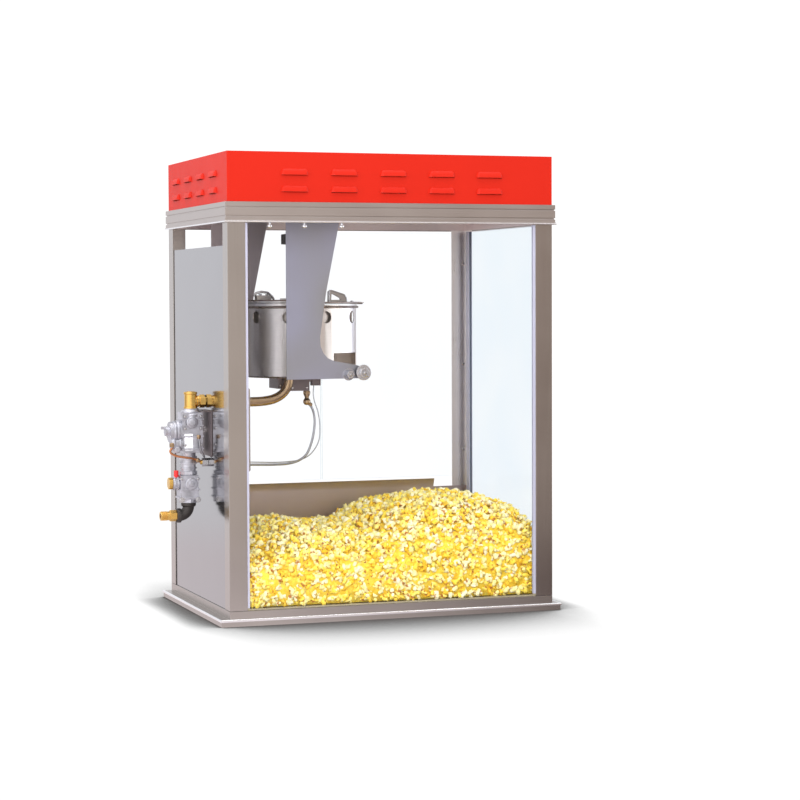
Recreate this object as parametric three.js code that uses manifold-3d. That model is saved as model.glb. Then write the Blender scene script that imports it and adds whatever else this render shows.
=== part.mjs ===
// Gas-fired counter popcorn machine: a glazed stainless cabinet with a louvred
// hood, a tilting kettle hung between two brackets, and a gas train on one side.
// Millimetres, +Z up. X runs across the front, Y from front to rear.
// The origin is the centre of the underside of the base.
import * as THREE from 'three';
import { mergeVertices } from 'three/addons/utils/BufferGeometryUtils.js';
import Module from 'manifold-3d';

const wasm = await Module();
wasm.setup();

// ---- Driving dimensions ---------------------------------------------------
const cabinet = { width: 711, depth: 508, postLeg: 38, sheet: 2 };
const level = { skirtTop: 14, railTop: 31, bandBottom: 822, bandTop: 863, hoodTop: 965 };
const lip = { side: 18, end: 2 };
const gap = 0.3;
const glass = { thick: 4, channelDepth: 8, sill: 3 };
const louvre = { pitch: 106.5, length: 58, height: 13, proud: 6, nose: 8, rows: [918, 883.8] };
const kettle = { x: -125, radius: 119, wall: 1.5, bottom: 499, rim: 650 };
const pivot = { x: -31, z: 510, radius: 6 };
const bracketY = { inner: 128.5, outer: 131 };
const lidLevel = { bottom: 656.5, top: 659 };
const burnerGas = { y: -50, z: 448 };
const train = { x: -385, y: -55, inletZ: 212, outletZ: 452 };
const bulkhead = { y: -72, z: 324 };
const doorPin = { x: 340, y: 258.5, bottom: 298, top: 792 };

const halfW = cabinet.width / 2;
const halfD = cabinet.depth / 2;
const postInnerX = halfW - cabinet.sheet - gap;
const postInnerY = halfD - cabinet.sheet - gap;
const underBand = level.bandBottom - 1;

// ---- Materials ------------------------------------------------------------
const metal = (color, roughness = 0.35) =>
  new THREE.MeshStandardMaterial({ color, roughness, metalness: 1 });
const plain = (color, roughness = 0.5) =>
  new THREE.MeshStandardMaterial({ color, roughness, metalness: 0 });
const clear = (color) =>
  new THREE.MeshStandardMaterial({ color, roughness: 0.05, transparent: true, opacity: 0.25 });

const finish = {
  stainless: metal(0xa8a29b),
  polished: metal(0xc4c4c8, 0.15),
  bracketSteel: metal(0xa4a3aa, 0.5),
  darkSteel: metal(0x57504f, 0.5),
  redEnamel: plain(0xee3322, 0.35),
  glass: clear(0xe8f4fa),
  acrylic: clear(0xf4f8fa),
  channel: plain(0xe4e4e6, 0.4),
  bronze: metal(0x8a6a4c, 0.4),
  brass: metal(0xd6a33c, 0.3),
  copper: metal(0xb86f48, 0.35),
  castAluminium: metal(0xb9bbc4, 0.5),
  blackIron: metal(0x4b4544, 0.7),
  blackPlastic: plain(0x1a1a1c, 0.45),
  redPlastic: plain(0xd02a2a, 0.35),
  lamp: plain(0xfff6e0, 0.3),
  popcorn: plain(0xffe27a, 0.9),
};

// ---- Geometry helpers -----------------------------------------------------
const sorted = (a, b) => (a < b ? [a, b] : [b, a]);

// A box between two corners, given as pairs along X, Y and Z.
function block(xs, ys, zs) {
  const [x0, x1] = sorted(...xs);
  const [y0, y1] = sorted(...ys);
  const [z0, z1] = sorted(...zs);
  const geometry = new THREE.BoxGeometry(x1 - x0, y1 - y0, z1 - z0);
  return geometry.translate((x0 + x1) / 2, (y0 + y1) / 2, (z0 + z1) / 2);
}

// A round rod along an axis, from one coordinate to another, through (a, b) on the other two.
function rod(axis, radius, [from, to], [a, b], sides = 20) {
  const [low, high] = sorted(from, to);
  const geometry = new THREE.CylinderGeometry(radius, radius, high - low, sides);
  const middle = (low + high) / 2;
  if (axis === 'x') return geometry.rotateZ(-Math.PI / 2).translate(middle, a, b);
  if (axis === 'y') return geometry.translate(a, middle, b);
  return geometry.rotateX(Math.PI / 2).translate(a, b, middle);
}

const outline = (points) => new THREE.Shape(points.map(([u, v]) => new THREE.Vector2(u, v)));

function extrude(shape, depth, curveSegments = 12) {
  return new THREE.ExtrudeGeometry(shape, { depth, bevelEnabled: false, curveSegments });
}

// An outline in X and Z, made into a plate between two Y values.
function plateXZ(shape, [y0, y1]) {
  return extrude(shape, y1 - y0).rotateX(Math.PI / 2).translate(0, y1, 0);
}

// An outline in Y and Z, made into a bar between two X values.
function barYZ(shape, [x0, x1]) {
  const toYZ = new THREE.Matrix4().makeBasis(
    new THREE.Vector3(0, 1, 0), new THREE.Vector3(0, 0, 1), new THREE.Vector3(1, 0, 0));
  return extrude(shape, x1 - x0).applyMatrix4(toYZ).translate(x0, 0, 0);
}

// An outline in X and Y, made into a plate between two Z values.
function plateXY(shape, [z0, z1], curveSegments = 12) {
  return extrude(shape, z1 - z0, curveSegments).translate(0, 0, z0);
}

// A closed profile of [radius, height] pairs, counter-clockwise, turned about a vertical axis.
function turned(profile, sides = 40) {
  const points = profile.map(([radius, height]) => new THREE.Vector2(radius, height));
  points.push(points[0].clone());
  return new THREE.LatheGeometry(points, sides).rotateX(Math.PI / 2);
}

// A round tube along a smooth curve through a list of [x, y, z] points.
function tube(points, radius, steps, sides = 8) {
  const path = new THREE.CatmullRomCurve3(points.map((point) => new THREE.Vector3(...point)));
  const section = new THREE.Shape();
  section.absarc(0, 0, radius, 0, 2 * Math.PI, false);
  return new THREE.ExtrudeGeometry(section, {
    steps, extrudePath: path, curveSegments: sides / 2, bevelEnabled: false,
  });
}

function toSolid(geometry) {
  if (!(geometry instanceof THREE.BufferGeometry)) return geometry;
  const bare = geometry.clone();
  bare.deleteAttribute('normal');
  bare.deleteAttribute('uv');
  const merged = mergeVertices(bare, 1e-4);
  return new wasm.Manifold(new wasm.Mesh({
    numProp: 3,
    vertProperties: merged.attributes.position.array,
    triVerts: Uint32Array.from(merged.index.array),
  }));
}

function toGeometry(solid) {
  const mesh = solid.getMesh();
  const geometry = new THREE.BufferGeometry();
  const positions = Float32Array.from(mesh.vertProperties);
  geometry.setAttribute('position', new THREE.BufferAttribute(positions, 3));
  geometry.setIndex(new THREE.BufferAttribute(Uint32Array.from(mesh.triVerts), 1));
  geometry.computeVertexNormals();
  return geometry;
}

const join = (...pieces) => pieces.map(toSolid).reduce((whole, piece) => whole.add(piece));
const cut = (body, ...tools) =>
  tools.map(toSolid).reduce((whole, tool) => whole.subtract(tool), toSolid(body));

const machine = new THREE.Group();

function add(name, shape, material, parent = machine) {
  const geometry = shape instanceof THREE.BufferGeometry ? shape : toGeometry(shape);
  const mesh = new THREE.Mesh(geometry, material);
  mesh.name = name;
  parent.add(mesh);
  return mesh;
}

// ---- Cabinet --------------------------------------------------------------
const drawer = { halfX: 151, front: -201, level: [2.3, 12.5], wall: 1.5 };
const well = { x: 300, y: 216 };

const slab = (halfX, halfY, z) => block([-halfX, halfX], [-halfY, halfY], z);

// Folded sheet: a skirt with a ledge, a hollow rail round the well, and a trough for the drawer.
function base() {
  const { sheet } = cabinet;
  const { skirtTop, railTop } = level;
  const [x, y] = [halfW + lip.side, halfD + lip.end];
  const bayX = drawer.halfX + 1;
  const bay = block([-bayX, bayX], [drawer.front - 1, y + 1], [sheet, skirtTop + 1]);
  const trough = cut(block([-bayX - sheet, bayX + sheet], [drawer.front - 1 - sheet, y],
    [0, skirtTop]), bay);
  const ledge = cut(slab(x, y, [0, skirtTop]),
    slab(x - sheet, y - sheet, [-1, skirtTop - sheet]));
  const rail = slab(halfW, halfD, [skirtTop - 1, railTop]);
  const inRail = cut(slab(halfW - sheet, halfD - sheet, [-1, railTop - sheet]),
    slab(well.x + sheet, well.y + sheet, [-2, railTop]));
  const shell = cut(join(ledge, rail), inRail, slab(well.x, well.y, [skirtTop, railTop + 1]));
  const mouth = block([-bayX, bayX], [drawer.front - 1, y + 1], [sheet, skirtTop]);
  return cut(join(shell, trough), mouth);
}

function crumbDrawer() {
  const faceY = halfD + lip.end + gap;
  const { halfX, front, level: z, wall } = drawer;
  return join(
    cut(block([-halfX, halfX], [front, faceY], z),
      block([-halfX + wall, halfX - wall], [front + wall, faceY - wall], [z[0] + wall, z[1] + 1])),
    block([-halfX - 8, halfX + 8], [faceY, faceY + 2.5], [1, 13.5]),
    block([-40, 40], [faceY + 2.5, faceY + 11], [6, 8]));
}

// The floor under the popped corn, slotted so that unpopped kernels fall into the drawer.
function popcornDeck() {
  const z = [level.railTop + gap, level.railTop + 2.3];
  const slots = [];
  for (let column = -3.5; column <= 3.5; column += 1) {
    for (let row = -2; row <= 2; row += 1) {
      const [x, y] = [column * 34, row * 60 - 25];
      slots.push(block([x - 4, x + 4], [y - 22, y + 22], [z[0] - 1, z[1] + 1]));
    }
  }
  return cut(block([-349, 342], [-242, 248], z), ...slots);
}

function post(sideX, sideY) {
  const at = (x, y) => [sideX * (halfW - x), sideY * (halfD - y)];
  const { postLeg, sheet } = cabinet;
  const angle = outline([at(0, 0), at(postLeg, 0), at(postLeg, sheet), at(sheet, sheet),
    at(sheet, postLeg), at(0, postLeg)]);
  return plateXY(angle, [level.railTop + gap, level.bandTop - gap]);
}

// The ribbed band round the head of the cabinet: each rib is [proud of the posts, low, high].
function trimBand() {
  const ribs = [[6.6, 0, 3.5], [5.4, 3.5, 10], [3.2, 10, 13], [5.4, 13, 28.5],
    [3.2, 28.5, 31], [5.4, 31, level.bandTop - level.bandBottom - gap]];
  const rings = ribs.map(([proud, low, high]) => block(
    [-halfW - proud, halfW + proud], [-halfD - proud, halfD + proud],
    [level.bandBottom + low, level.bandBottom + high]));
  const inside = block([-halfW - gap, halfW + gap], [-halfD - gap, halfD + gap],
    [level.bandBottom - 1, level.bandTop + 1]);
  return cut(join(...rings), inside);
}

const ceiling = { underside: 842, top: 844, skirt: 824, wall: 1.5 };

function ceilingPan() {
  const { wall, skirt, underside, top } = ceiling;
  const tray = block([-postInnerX, postInnerX], [-postInnerY, postInnerY], [skirt, top]);
  const hollow = block([-postInnerX + wall, postInnerX - wall],
    [-postInnerY + wall, postInnerY - wall], [skirt - 1, underside]);
  return cut(tray, hollow, rod('z', 20.5, [underside - 1, top + 1], [kettle.x, 0]));
}

// A ball stretched along X: two rounded noses with a straight stretch between them.
function stretchedBall(halfStraight, radii) {
  const ball = new THREE.SphereGeometry(1, 14, 7).rotateZ(Math.PI / 2);
  const position = ball.attributes.position;
  for (let i = 0; i < position.count; i += 1) {
    const x = position.getX(i);
    position.setXYZ(i, x * radii.x + Math.sign(x) * halfStraight,
      position.getY(i) * radii.y, position.getZ(i) * radii.z);
  }
  return ball;
}

// One louvre on a wall whose outer face is at y = 0, with its open edge down at z = 0:
// a lanced strip pushed outward along +Y, and the throat behind it.
function louvreParts(place) {
  const { length, height, proud, nose } = louvre;
  const straight = length / 2 - nose;
  const skin = 1.3;
  const outer = stretchedBall(straight, { x: nose, y: proud, z: height });
  const inner = stretchedBall(straight,
    { x: nose - skin, y: proud - skin, z: height - 1.6 * skin });
  const span = [-length, length];
  const below = block(span, [-2 * proud, 2 * proud], [-2 * height, 0]);
  const behind = block(span, [-2 * proud, -0.5], [-1, 2 * height]);
  const lower = block(span, [-2 * proud, 2 * proud], [-2 * height, -0.6]);
  return [cut(outer, below, behind), cut(inner, lower)].map((solid) => place(toGeometry(solid)));
}

const sideLouvreShift = 17;
const switchX = [200, 236];
const switchZ = 914;

function hood() {
  const [x, y] = [halfW - 0.2, halfD - 0.3];
  const wall = 1.5;
  let cover = cut(block([-x, x], [-y, y], [level.bandTop, level.hoodTop]),
    block([-x + wall, x - wall], [-y + wall, y - wall], [level.bandTop - 1, level.hoodTop - wall]));
  const blisters = [];
  const throats = [];
  for (const z of louvre.rows) {
    for (let i = -2; i <= 2; i += 1) {
      const [blister, throat] = louvreParts((piece) =>
        piece.rotateZ(Math.PI).translate(i * louvre.pitch, -y, z));
      blisters.push(blister);
      throats.push(throat);
    }
    for (const side of [-1, 1]) {
      for (let i = -1.5; i <= 1.5; i += 1) {
        const [blister, throat] = louvreParts((piece) =>
          piece.rotateZ(side * -Math.PI / 2)
            .translate(side * x, i * louvre.pitch + sideLouvreShift, z));
        blisters.push(blister);
        throats.push(throat);
      }
    }
  }
  const windows = switchX.map((centre) =>
    block([centre - 12, centre + 12], [y - 3, y + 3], [switchZ - 17, switchZ + 17]));
  cover = cut(join(cover, ...blisters), ...throats, ...windows);
  return cover;
}

function switchPanel() {
  const y = [halfD, halfD + 1.5];
  const plate = block([switchX[0] - 40, switchX[1] + 40], y, [switchZ - 28, switchZ + 28]);
  return cut(plate, ...switchX.map((centre) =>
    block([centre - 11, centre + 11], [y[0] - 1, y[1] + 1], [switchZ - 16, switchZ + 16])));
}

const rocker = (centre) => barYZ(
  outline([[252.6, -14], [258.5, -14], [260.5, -13], [258.8, 0], [258.8, 14], [252.6, 14]]),
  [centre - 10, centre + 10]).translate(0, 0, switchZ);

// A U-shaped channel that holds one pane: two uprights joined along the bottom.
// It is drawn for the front pane, standing in X and Z, centred on x = 0.
function channelFrame(halfOuter, halfOpening, halfPane) {
  const z = [level.railTop + gap, underBand];
  const { thick, channelDepth, sill } = glass;
  return cut(block([-halfOuter, halfOuter], [0, channelDepth], z),
    block([-halfOpening, halfOpening], [-1, channelDepth + 1], [z[0] + sill, z[1] + 1]),
    block([-halfPane - 0.4, halfPane + 0.4], [1.6, 2.4 + thick],
      [z[0] + sill / 2, z[1] + 1]));
}

const pane = (halfPane) => block([-halfPane, halfPane], [2, 2 + glass.thick],
  [level.railTop + 2 * gap + glass.sill / 2, underBand - 1]);

const toFront = (geometry) => geometry.translate(0, -postInnerY, 0);
const toRight = (geometry) => geometry.rotateZ(Math.PI / 2).translate(postInnerX, 0, 0);

function glazing() {
  const frame = { front: [330, 312.5, 316], right: [230, 211, 218] };
  add('front_glass', toFront(pane(frame.front[2])), finish.glass);
  add('right_glass', toRight(pane(frame.right[2])), finish.glass);
  add('front_glass_channel', toFront(toGeometry(channelFrame(...frame.front))), finish.channel);
  add('right_glass_channel', toRight(toGeometry(channelFrame(...frame.right))), finish.channel);
}

function leftPanel() {
  const x = [-postInnerX, -postInnerX + 1.5];
  const hole = { from: x[0] - 1, to: x[1] + 1 };
  return cut(block(x, [-236, 236], [level.railTop + gap, 775]),
    rod('x', 12.5, [hole.from, hole.to], [train.y, train.outletZ]),
    rod('x', 6.5, [hole.from, hole.to], [bulkhead.y, bulkhead.z]));
}

function rearApron() {
  const [inner, outer, bend, top] = [250, postInnerY, 229, 248];
  const lean = 8;
  return join(
    block([-postInnerX, postInnerX], [inner, outer], [level.railTop + gap, bend]),
    barYZ(outline([[inner, bend - 1], [outer, bend - 1], [outer - lean, top],
      [inner - lean, top]]), [-270, 270]));
}

// Height of the popped corn over the deck, along its crest: a low mound on the left, a hollow,
// and a broad mound that leans on the right pane.
const crest = [[-347, 108], [-270, 133], [-190, 158], [-110, 146], [-30, 147], [60, 188],
  [150, 199], [240, 201], [341, 171]];

function cornHeight(x, y) {
  const next = Math.max(1, crest.findIndex(([at]) => at >= x));
  const [[west, low], [east, high]] = [crest[next - 1], crest[next]];
  const ridge = low + (high - low) * THREE.MathUtils.smoothstep(x, west, east);
  const frontFall = 48 * Math.max(0, (-y - 60) / 180) ** 2;
  const rearFall = 40 * Math.max(0, (y - 60) / 180) ** 1.5;
  return ridge - frontFall - rearFall;
}

const corn = { west: -347, east: 340, south: -240, north: 238, floor: level.railTop + 2.7 };

// A solid under the corn's surface, held back by "inset" at the sides and by "sink" below the top.
function mound(inset, sink, bottom, [columns, rows]) {
  const [west, east] = [corn.west + inset, corn.east - inset];
  const [south, north] = [corn.south + inset, corn.north - inset];
  const solid = new THREE.BoxGeometry(east - west, north - south, 1, columns, rows, 1);
  solid.translate((west + east) / 2, (south + north) / 2, 0.5);
  const position = solid.attributes.position;
  for (let i = 0; i < position.count; i += 1) {
    const height = cornHeight(position.getX(i), position.getY(i)) - sink;
    position.setZ(i, position.getZ(i) > 0.5 ? corn.floor + height : bottom);
  }
  return solid;
}

// The popped corn is mostly air, so its solid is a crust, open below, that weighs about as much.
function popcornHeap() {
  const crust = { side: 8, top: 18 };
  const { west, east, south, north, floor } = corn;
  const heap = join(mound(0, 0, floor, [24, 16]),
    block([west, east], [south, north], [floor, floor + 2]));
  return cut(heap, mound(crust.side, crust.top, floor - 1, [12, 8]));
}

// ---- Rear doors -----------------------------------------------------------
// "side" is -1 for the left door and +1 for the right one.
const knuckle = {
  radius: 4,
  fixed: [[298, 312], [538, 552], [778, 792]],
  turning: [[312.4, 537.6], [552.4, 777.6]],
};
const clamp = { y: [254.9, 256.4], z: [306, 784], width: 15.5 };
const doorPaneY = [256.7, 260.7];

const barrelsOf = (heights, side) => heights.map((z) =>
  rod('z', knuckle.radius, z, [side * doorPin.x, doorPin.y], 12));

// The fixed leaf lies on the rear post beside the pin, and its tabs reach to the pin.
function hingeStrip(side) {
  const { x, y, bottom, top } = doorPin;
  const leafX = [side * (x + 5.5), side * (halfW - 0.5)];
  const tabs = knuckle.fixed.map((z) =>
    block([side * (x + 1), side * (x + 7)], [halfD + gap, y], z));
  return join(block(leafX, [halfD + gap, halfD + 1.8], [bottom + 2, top - 2]),
    rod('z', 2, [bottom, top], [side * x, y], 12), ...barrelsOf(knuckle.fixed, side), ...tabs);
}

// The turning leaf is a strip screwed to the pane's inner side, hidden behind the rear post.
function doorClamp(side) {
  const { x, y, bottom, top } = doorPin;
  const edge = x - 4.5;
  const webs = knuckle.turning.map((z) =>
    block([side * (x - 1), side * (edge - 6)], clamp.y, z));
  const strip = block([side * edge, side * (edge - clamp.width)], clamp.y, clamp.z);
  return cut(join(strip, ...barrelsOf(knuckle.turning, side), ...webs),
    rod('z', 2.5, [bottom - 8, top + 8], [side * x, y], 12));
}

function doorPane(side) {
  const [inner, outer] = doorPaneY;
  return cut(block([side * (doorPin.x - 6.5), side * 1.5], doorPaneY, [252, 818]),
    rod('y', 13, [inner - 1, outer + 1], [side * 24, 540], 24));
}

// ---- Kettle and its hanging -----------------------------------------------
// The front bracket: a tapering plate that spreads into a foot reaching under the kettle's rim.
const bracketToe = [[-44, 526], [-27, 521.5], [-19, 514], [-20, 503], [-30, 497.5]];
const frontBracketOutline = [[-196, 841.5], [-76, 841.5], [-108, 683], [-122.5, 586],
  [-121.5, 566], [-115, 551], [-105, 540.5], [-91, 534.5], ...bracketToe, [-196, 496.5]];
const rearBracketOutline = [[-290, 841.5], [-161, 841.5], [-193, 683], [-206, 590],
  [-203, 566], [-190, 545], [-170, 536], ...bracketToe, [-290, 496.5]];
const stopStud = { x: -60, z: 506, radius: 4 };

function kettleBracket(points, side) {
  const y = sorted(side * bracketY.inner, side * bracketY.outer);
  const foot = sorted(side * bracketY.inner, side * (bracketY.outer + 28));
  const [left, right] = [points[0][0], points[1][0]];
  const through = [y[0] - 1, y[1] + 1];
  return cut(join(plateXZ(outline(points), y), block([left, right], foot, [839.2, 841.5])),
    rod('y', pivot.radius + 0.5, through, [pivot.x, pivot.z], 16));
}

// The front bracket also carries the stop stud that the kettle rests against.
function kettleBracketFront() {
  const { x, z, radius } = stopStud;
  return join(kettleBracket(frontBracketOutline, -1),
    rod('y', 11, [-bracketY.outer - 9, -bracketY.outer + 1], [x, z], 12),
    rod('y', radius, [-bracketY.outer, -121], [x, z], 12));
}

const atKettle = (geometry) => geometry.translate(kettle.x, 0, 0);

function kettleShell() {
  const { radius, wall, bottom, rim } = kettle;
  const inner = radius - wall;
  const skirt = atKettle(turned([[inner, bottom], [radius, bottom], [radius, rim - 4],
    [radius + 3, rim - 3], [radius + 3, rim], [radius, rim + 1], [inner, rim + 1]], 44));
  const ears = [-1, 1].map((side) =>
    block([pivot.x - 15, pivot.x + 15], [side * 64, side * 124], [bottom + 0.5, pivot.z + 11]));
  const vents = Array.from({ length: 9 }, (_, i) => atKettle(
    rod('x', 13, [radius - 20, radius + 12], [0, 627], 14).rotateZ((i * 2 * Math.PI) / 9)));
  const frontWindow = block([kettle.x + 38, kettle.x + radius], [-radius - 5, -44], [524, 551]);
  const bore = rod('y', pivot.radius + 0.3, [-130, 130], [pivot.x, pivot.z], 16);
  return cut(cut(join(skirt, ...ears), ...vents, frontWindow), bore);
}

function kettlePan() {
  const [outer, wall, floor, lipTop] = [110, 2.5, 556, 653.5];
  return atKettle(turned([[0, floor], [outer - 15, floor], [outer - 4, floor + 5],
    [outer, floor + 15], [outer, lipTop - 2.2], [outer + 11, lipTop - 2.2], [outer + 11, lipTop],
    [outer - wall, lipTop], [outer - wall, floor + 16], [outer - 6, floor + 7.5],
    [outer - 16, floor + wall], [0, floor + wall]]));
}

function kettleCrossbar() {
  const halfWidth = 12;
  const x = [kettle.x - halfWidth, kettle.x + halfWidth];
  const feet = [-1, 1].map((side) => block(x, [side * 109, side * 121], [653.8, 662.5]));
  return cut(join(block(x, [-121, 121], [662, 668]), rod('z', 9, [667, 745], [kettle.x, 0], 20),
    ...feet), rod('z', 5.3, [640, 760], [kettle.x, 0], 16));
}

const lidRadius = 122;
const lidSplit = 14;

function kettleLidFixed() {
  const half = Math.acos(lidSplit / lidRadius);
  const shape = new THREE.Shape();
  shape.absarc(kettle.x, 0, lidRadius, Math.PI - half, Math.PI + half, false);
  return join(plateXY(shape, [lidLevel.bottom, lidLevel.top], 24),
    block([-237, -205], [-50, -30], [lidLevel.top - 1, 674]));
}

// The hinged half has a straight spout edge that reaches past the rim.
function kettleLidFlap() {
  const half = Math.acos(lidSplit / lidRadius);
  const spout = { x: 5.5, halfY: 38, from: 0.36 };
  const shape = new THREE.Shape();
  shape.absarc(kettle.x, 0, lidRadius, -half, -spout.from, false);
  shape.lineTo(spout.x, -spout.halfY);
  shape.lineTo(spout.x, spout.halfY);
  shape.absarc(kettle.x, 0, lidRadius, spout.from, half, false);
  const tab = outline([[-76, lidLevel.top - 1], [-34, lidLevel.top - 1], [-35, 666], [-41, 675],
    [-71, 685], [-76, 682]]);
  const fingerHole = outline([[-70, 664], [-49, 664], [-50, 668], [-69, 678]]);
  return cut(join(plateXY(shape, [lidLevel.bottom, lidLevel.top], 12), plateXZ(tab, [-44, -36])),
    plateXZ(fingerHole, [-46, -34]));
}

function agitator() {
  const centre = [kettle.x, 0];
  const bladeZ = [561, 566];
  return join(rod('z', 4.8, [562, 752], centre, 16), rod('z', 12, [561, 576], centre, 16),
    block([kettle.x - 98, kettle.x + 98], [-7, 7], bladeZ),
    block([kettle.x - 7, kettle.x + 7], [-62, 62], bladeZ),
    block([kettle.x - 4.5, kettle.x + 4.5], [-2, 2], [750, 768]));
}

// A fork whose slot is in line with the dumping direction, so the tongue leaves it sideways.
function driveSpindle() {
  const fork = rod('z', 12, [761, 783], [kettle.x, 0], 20);
  const shaft = rod('z', 6, [782, 870], [kettle.x, 0], 16);
  return cut(join(fork, shaft), block([kettle.x - 14, kettle.x + 14], [-2.6, 2.6], [760, 779]));
}

// The motor stands on the ceiling, and its bearing snout reaches down through it.
function gearMotor() {
  const snout = atKettle(turned([[0, 784], [42, 784], [42, 805], [25, 808], [20, 812], [20, 846],
    [0, 846]], 24));
  const gearcase = block([-180, -75], [-45, 45], [844.3, 900]);
  const motor = rod('x', 36, [-76, 60], [0, 884], 20);
  const endCap = rod('x', 14, [59, 68], [0, 884], 12);
  return cut(join(gearcase, motor, endCap, snout), rod('z', 6.6, [780, 872], [kettle.x, 0], 16));
}

const dumpLever = () => join(
  plateXZ(outline([[-42, 502], [-24, 499], [-20, 515], [-96, 650], [-114, 640]]), [137, 142]),
  rod('y', 5, [141, 156], [-105, 640], 14));

const leverGrip = () => cut(rod('y', 12, [150, 222], [-105, 640], 16),
  rod('y', 5.4, [149, 160], [-105, 640], 14));

const pivotBolt = () => join(rod('y', pivot.radius, [-137.5, 136.7], [pivot.x, pivot.z], 16),
  rod('y', 13.5, [-146, -137], [pivot.x, pivot.z], 16));

// ---- Burner, pilot and cover ----------------------------------------------
// The burner's support box, with the small igniter block on its right.
function burnerBox() {
  const legs = [block([-187.5, -160], [-35, 35], [474, 497]),
    block([-165, -118], [-38, 10], [469, 497])];
  const bridge = block([-187.5, -118], [-20, 35], [488, 497]);
  const boss = rod('z', 20, [496, 503], [kettle.x, 0], 20);
  const igniter = [block([-119, -94], [-37, -20], [488, 494]),
    block([-113, -94], [-42, -26], [480, 494]), rod('z', 3, [480, 499], [-100, -31], 10)];
  return join(...legs, bridge, boss, ...igniter);
}

const burnerHead = () =>
  atKettle(turned([[0, 503.3], [70, 503.3], [72, 508], [66, 520], [0, 524]], 32));

const mixingTube = () => tube([[-300, 448], [-255, 448], [-224, 449], [-201, 453.5], [-184, 462.5],
  [-173, 475], [-168.5, 489], [-168, 502.5]].map(([x, z]) => [x, burnerGas.y, z]), 10, 22, 12);

function gasCoverBox() {
  const panel = -postInnerX + 1.5 + gap;
  const inner = -273;
  const edge = (d) => outline([[panel - (d ? 2 : 0), 296 + d], [inner - 12, 296 + d],
    [inner - d, 308 + d / 2], [inner - d, 477 - d / 2], [inner - 12, 490 - d],
    [panel - (d ? 2 : 0), 490 - d]]);
  return cut(plateXZ(edge(0), [-120, 25]), plateXZ(edge(1.5), [-118.5, 23.5]),
    rod('x', 10.8, [-290, -265], [burnerGas.y, burnerGas.z], 16),
    rod('x', 3.2, [-290, -265], [-30, 314], 12),
    rod('x', 2, [-290, -265], [-41, 320], 8));
}

const pilotFitting = () => turned([[0, 437.5], [5, 438.8], [8, 443], [8, 448], [5, 452],
  [4.5, 455.5], [7, 460], [7, 468.7], [0, 468.7]], 14).translate(-122, -30, 0);

const pilotTube = () => tube([[-116, 439], [-109.5, 430], [-104.5, 407], [-107.1, 377],
  [-115.6, 347], [-124, 331], [-139, 319.7], [-163, 313], [-194, 311.5], [-247, 313],
  [-290, 314]].map(([x, z]) => [x, -30, z]), 2.6, 40);

const igniterLead = () => tube([[-108, -36, 479.5], [-109.5, -37, 462], [-107, -38, 445],
  [-101, -39, 428], [-97, -40, 407], [-96, -40, 383], [-98, -41, 364], [-107, -41, 345],
  [-121, -41, 330], [-141, -41, 321], [-165, -41, 318], [-196, -41, 317], [-247, -41, 319],
  [-290, -41, 320]], 1.2, 46);

// ---- Gas train ------------------------------------------------------------
const alongX = (radius, from, to, z, sides = 20) =>
  rod('x', radius, [from, to], [train.y, z], sides);

function brassElbow() {
  const body = rod('z', 13, [435.3, 472], [train.x, train.y], 20);
  return join(body, alongX(10.5, train.x, -338, train.outletZ),
    alongX(14, -366, -355, train.outletZ, 6));
}

function gasValve() {
  return join(block([-408, -364], [-77, -33], [345, 429]),
    rod('z', 16, [428, 435], [train.x, train.y], 8),
    alongX(22, -432, -407, 388), rod('x', 13, [-431, -407], [-66, 363], 16),
    rod('x', 4, [-365, -360.5], [-64, 396], 10));
}

const gasKnob = () => join(alongX(10, -441, -432.3, 390, 16),
  block([-449, -440], [-57.5, -52.5], [394, 400]));

function safetyValve() {
  const body = join(block([-412, -373], [-74, -36], [246, 297]),
    rod('z', 16, [296, 344.7], [-391, train.y], 12), rod('z', 21, [239.3, 247], [-391, train.y], 8),
    alongX(14, -426, -411, 280));
  return cut(body, rod('z', 5.4, [285, 300], [-417, train.y], 14));
}

const resetButton = () => rod('z', 5, [290, 307], [-417, train.y], 14);
const valveCap = () => alongX(12.5, -434, -426.3, 280);

function ironElbow() {
  const bend = 20;
  const [x, top, bottom] = [-391, 239, train.inletZ];
  const corner = [0, 22.5, 45, 67.5, 90].map((angle) => {
    const turn = THREE.MathUtils.degToRad(angle);
    return [x - bend + bend * Math.cos(turn), train.y, bottom + bend - bend * Math.sin(turn)];
  });
  return tube([[x, train.y, top], ...corner, [-417, train.y, bottom]], 12, 12, 16);
}

function flareFitting() {
  return cut(join(alongX(9.5, -452, -431, train.inletZ), alongX(12, -432, -417.3, train.inletZ, 6)),
    alongX(5.5, -453, -428, train.inletZ, 12));
}

const copperTube = () => tube([[-431, -80, 356], [-436, -80, 348], [-424, -81, 340],
  [-405, -82, 336], [-388, -81, 333], [-375, -75, 328], [-367.2, -72, 324.5]], 2.4, 20);

const valvePilotTube = () => tube([[-374, -80, 380], [-373, -81.5, 366], [-370, -81.5, 350],
  [-365, -79, 341], [-360.5, -73, 334.8]], 2.2, 14);

const bulkheadFitting = () => join(rod('x', 9, [-366, -353.5], [bulkhead.y, bulkhead.z], 6),
  rod('x', 5.8, [-354, -338], [bulkhead.y, bulkhead.z], 12));

function valveBracket() {
  const [outer, inner] = [-355, -353.5];
  return join(block([outer, inner], [-113, -17], [338, 433]),
    block([-363.7, inner], [-113, -17], [431.5, 433]));
}

// ---- Lamp -----------------------------------------------------------------
const lamp = { y: -223, z: 831, radius: 6.8, halfLength: 150 };

const lampHolder = () => join(
  block([-160, 160], [lamp.y - 12, lamp.y + 12], [839.2, 841.7]),
  ...[-1, 1].map((side) => block([side * 151, side * 160], [lamp.y - 8, lamp.y + 8], [824, 840])));
const lampTube = () =>
  rod('x', lamp.radius, [-lamp.halfLength, lamp.halfLength], [lamp.y, lamp.z], 14);

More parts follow.
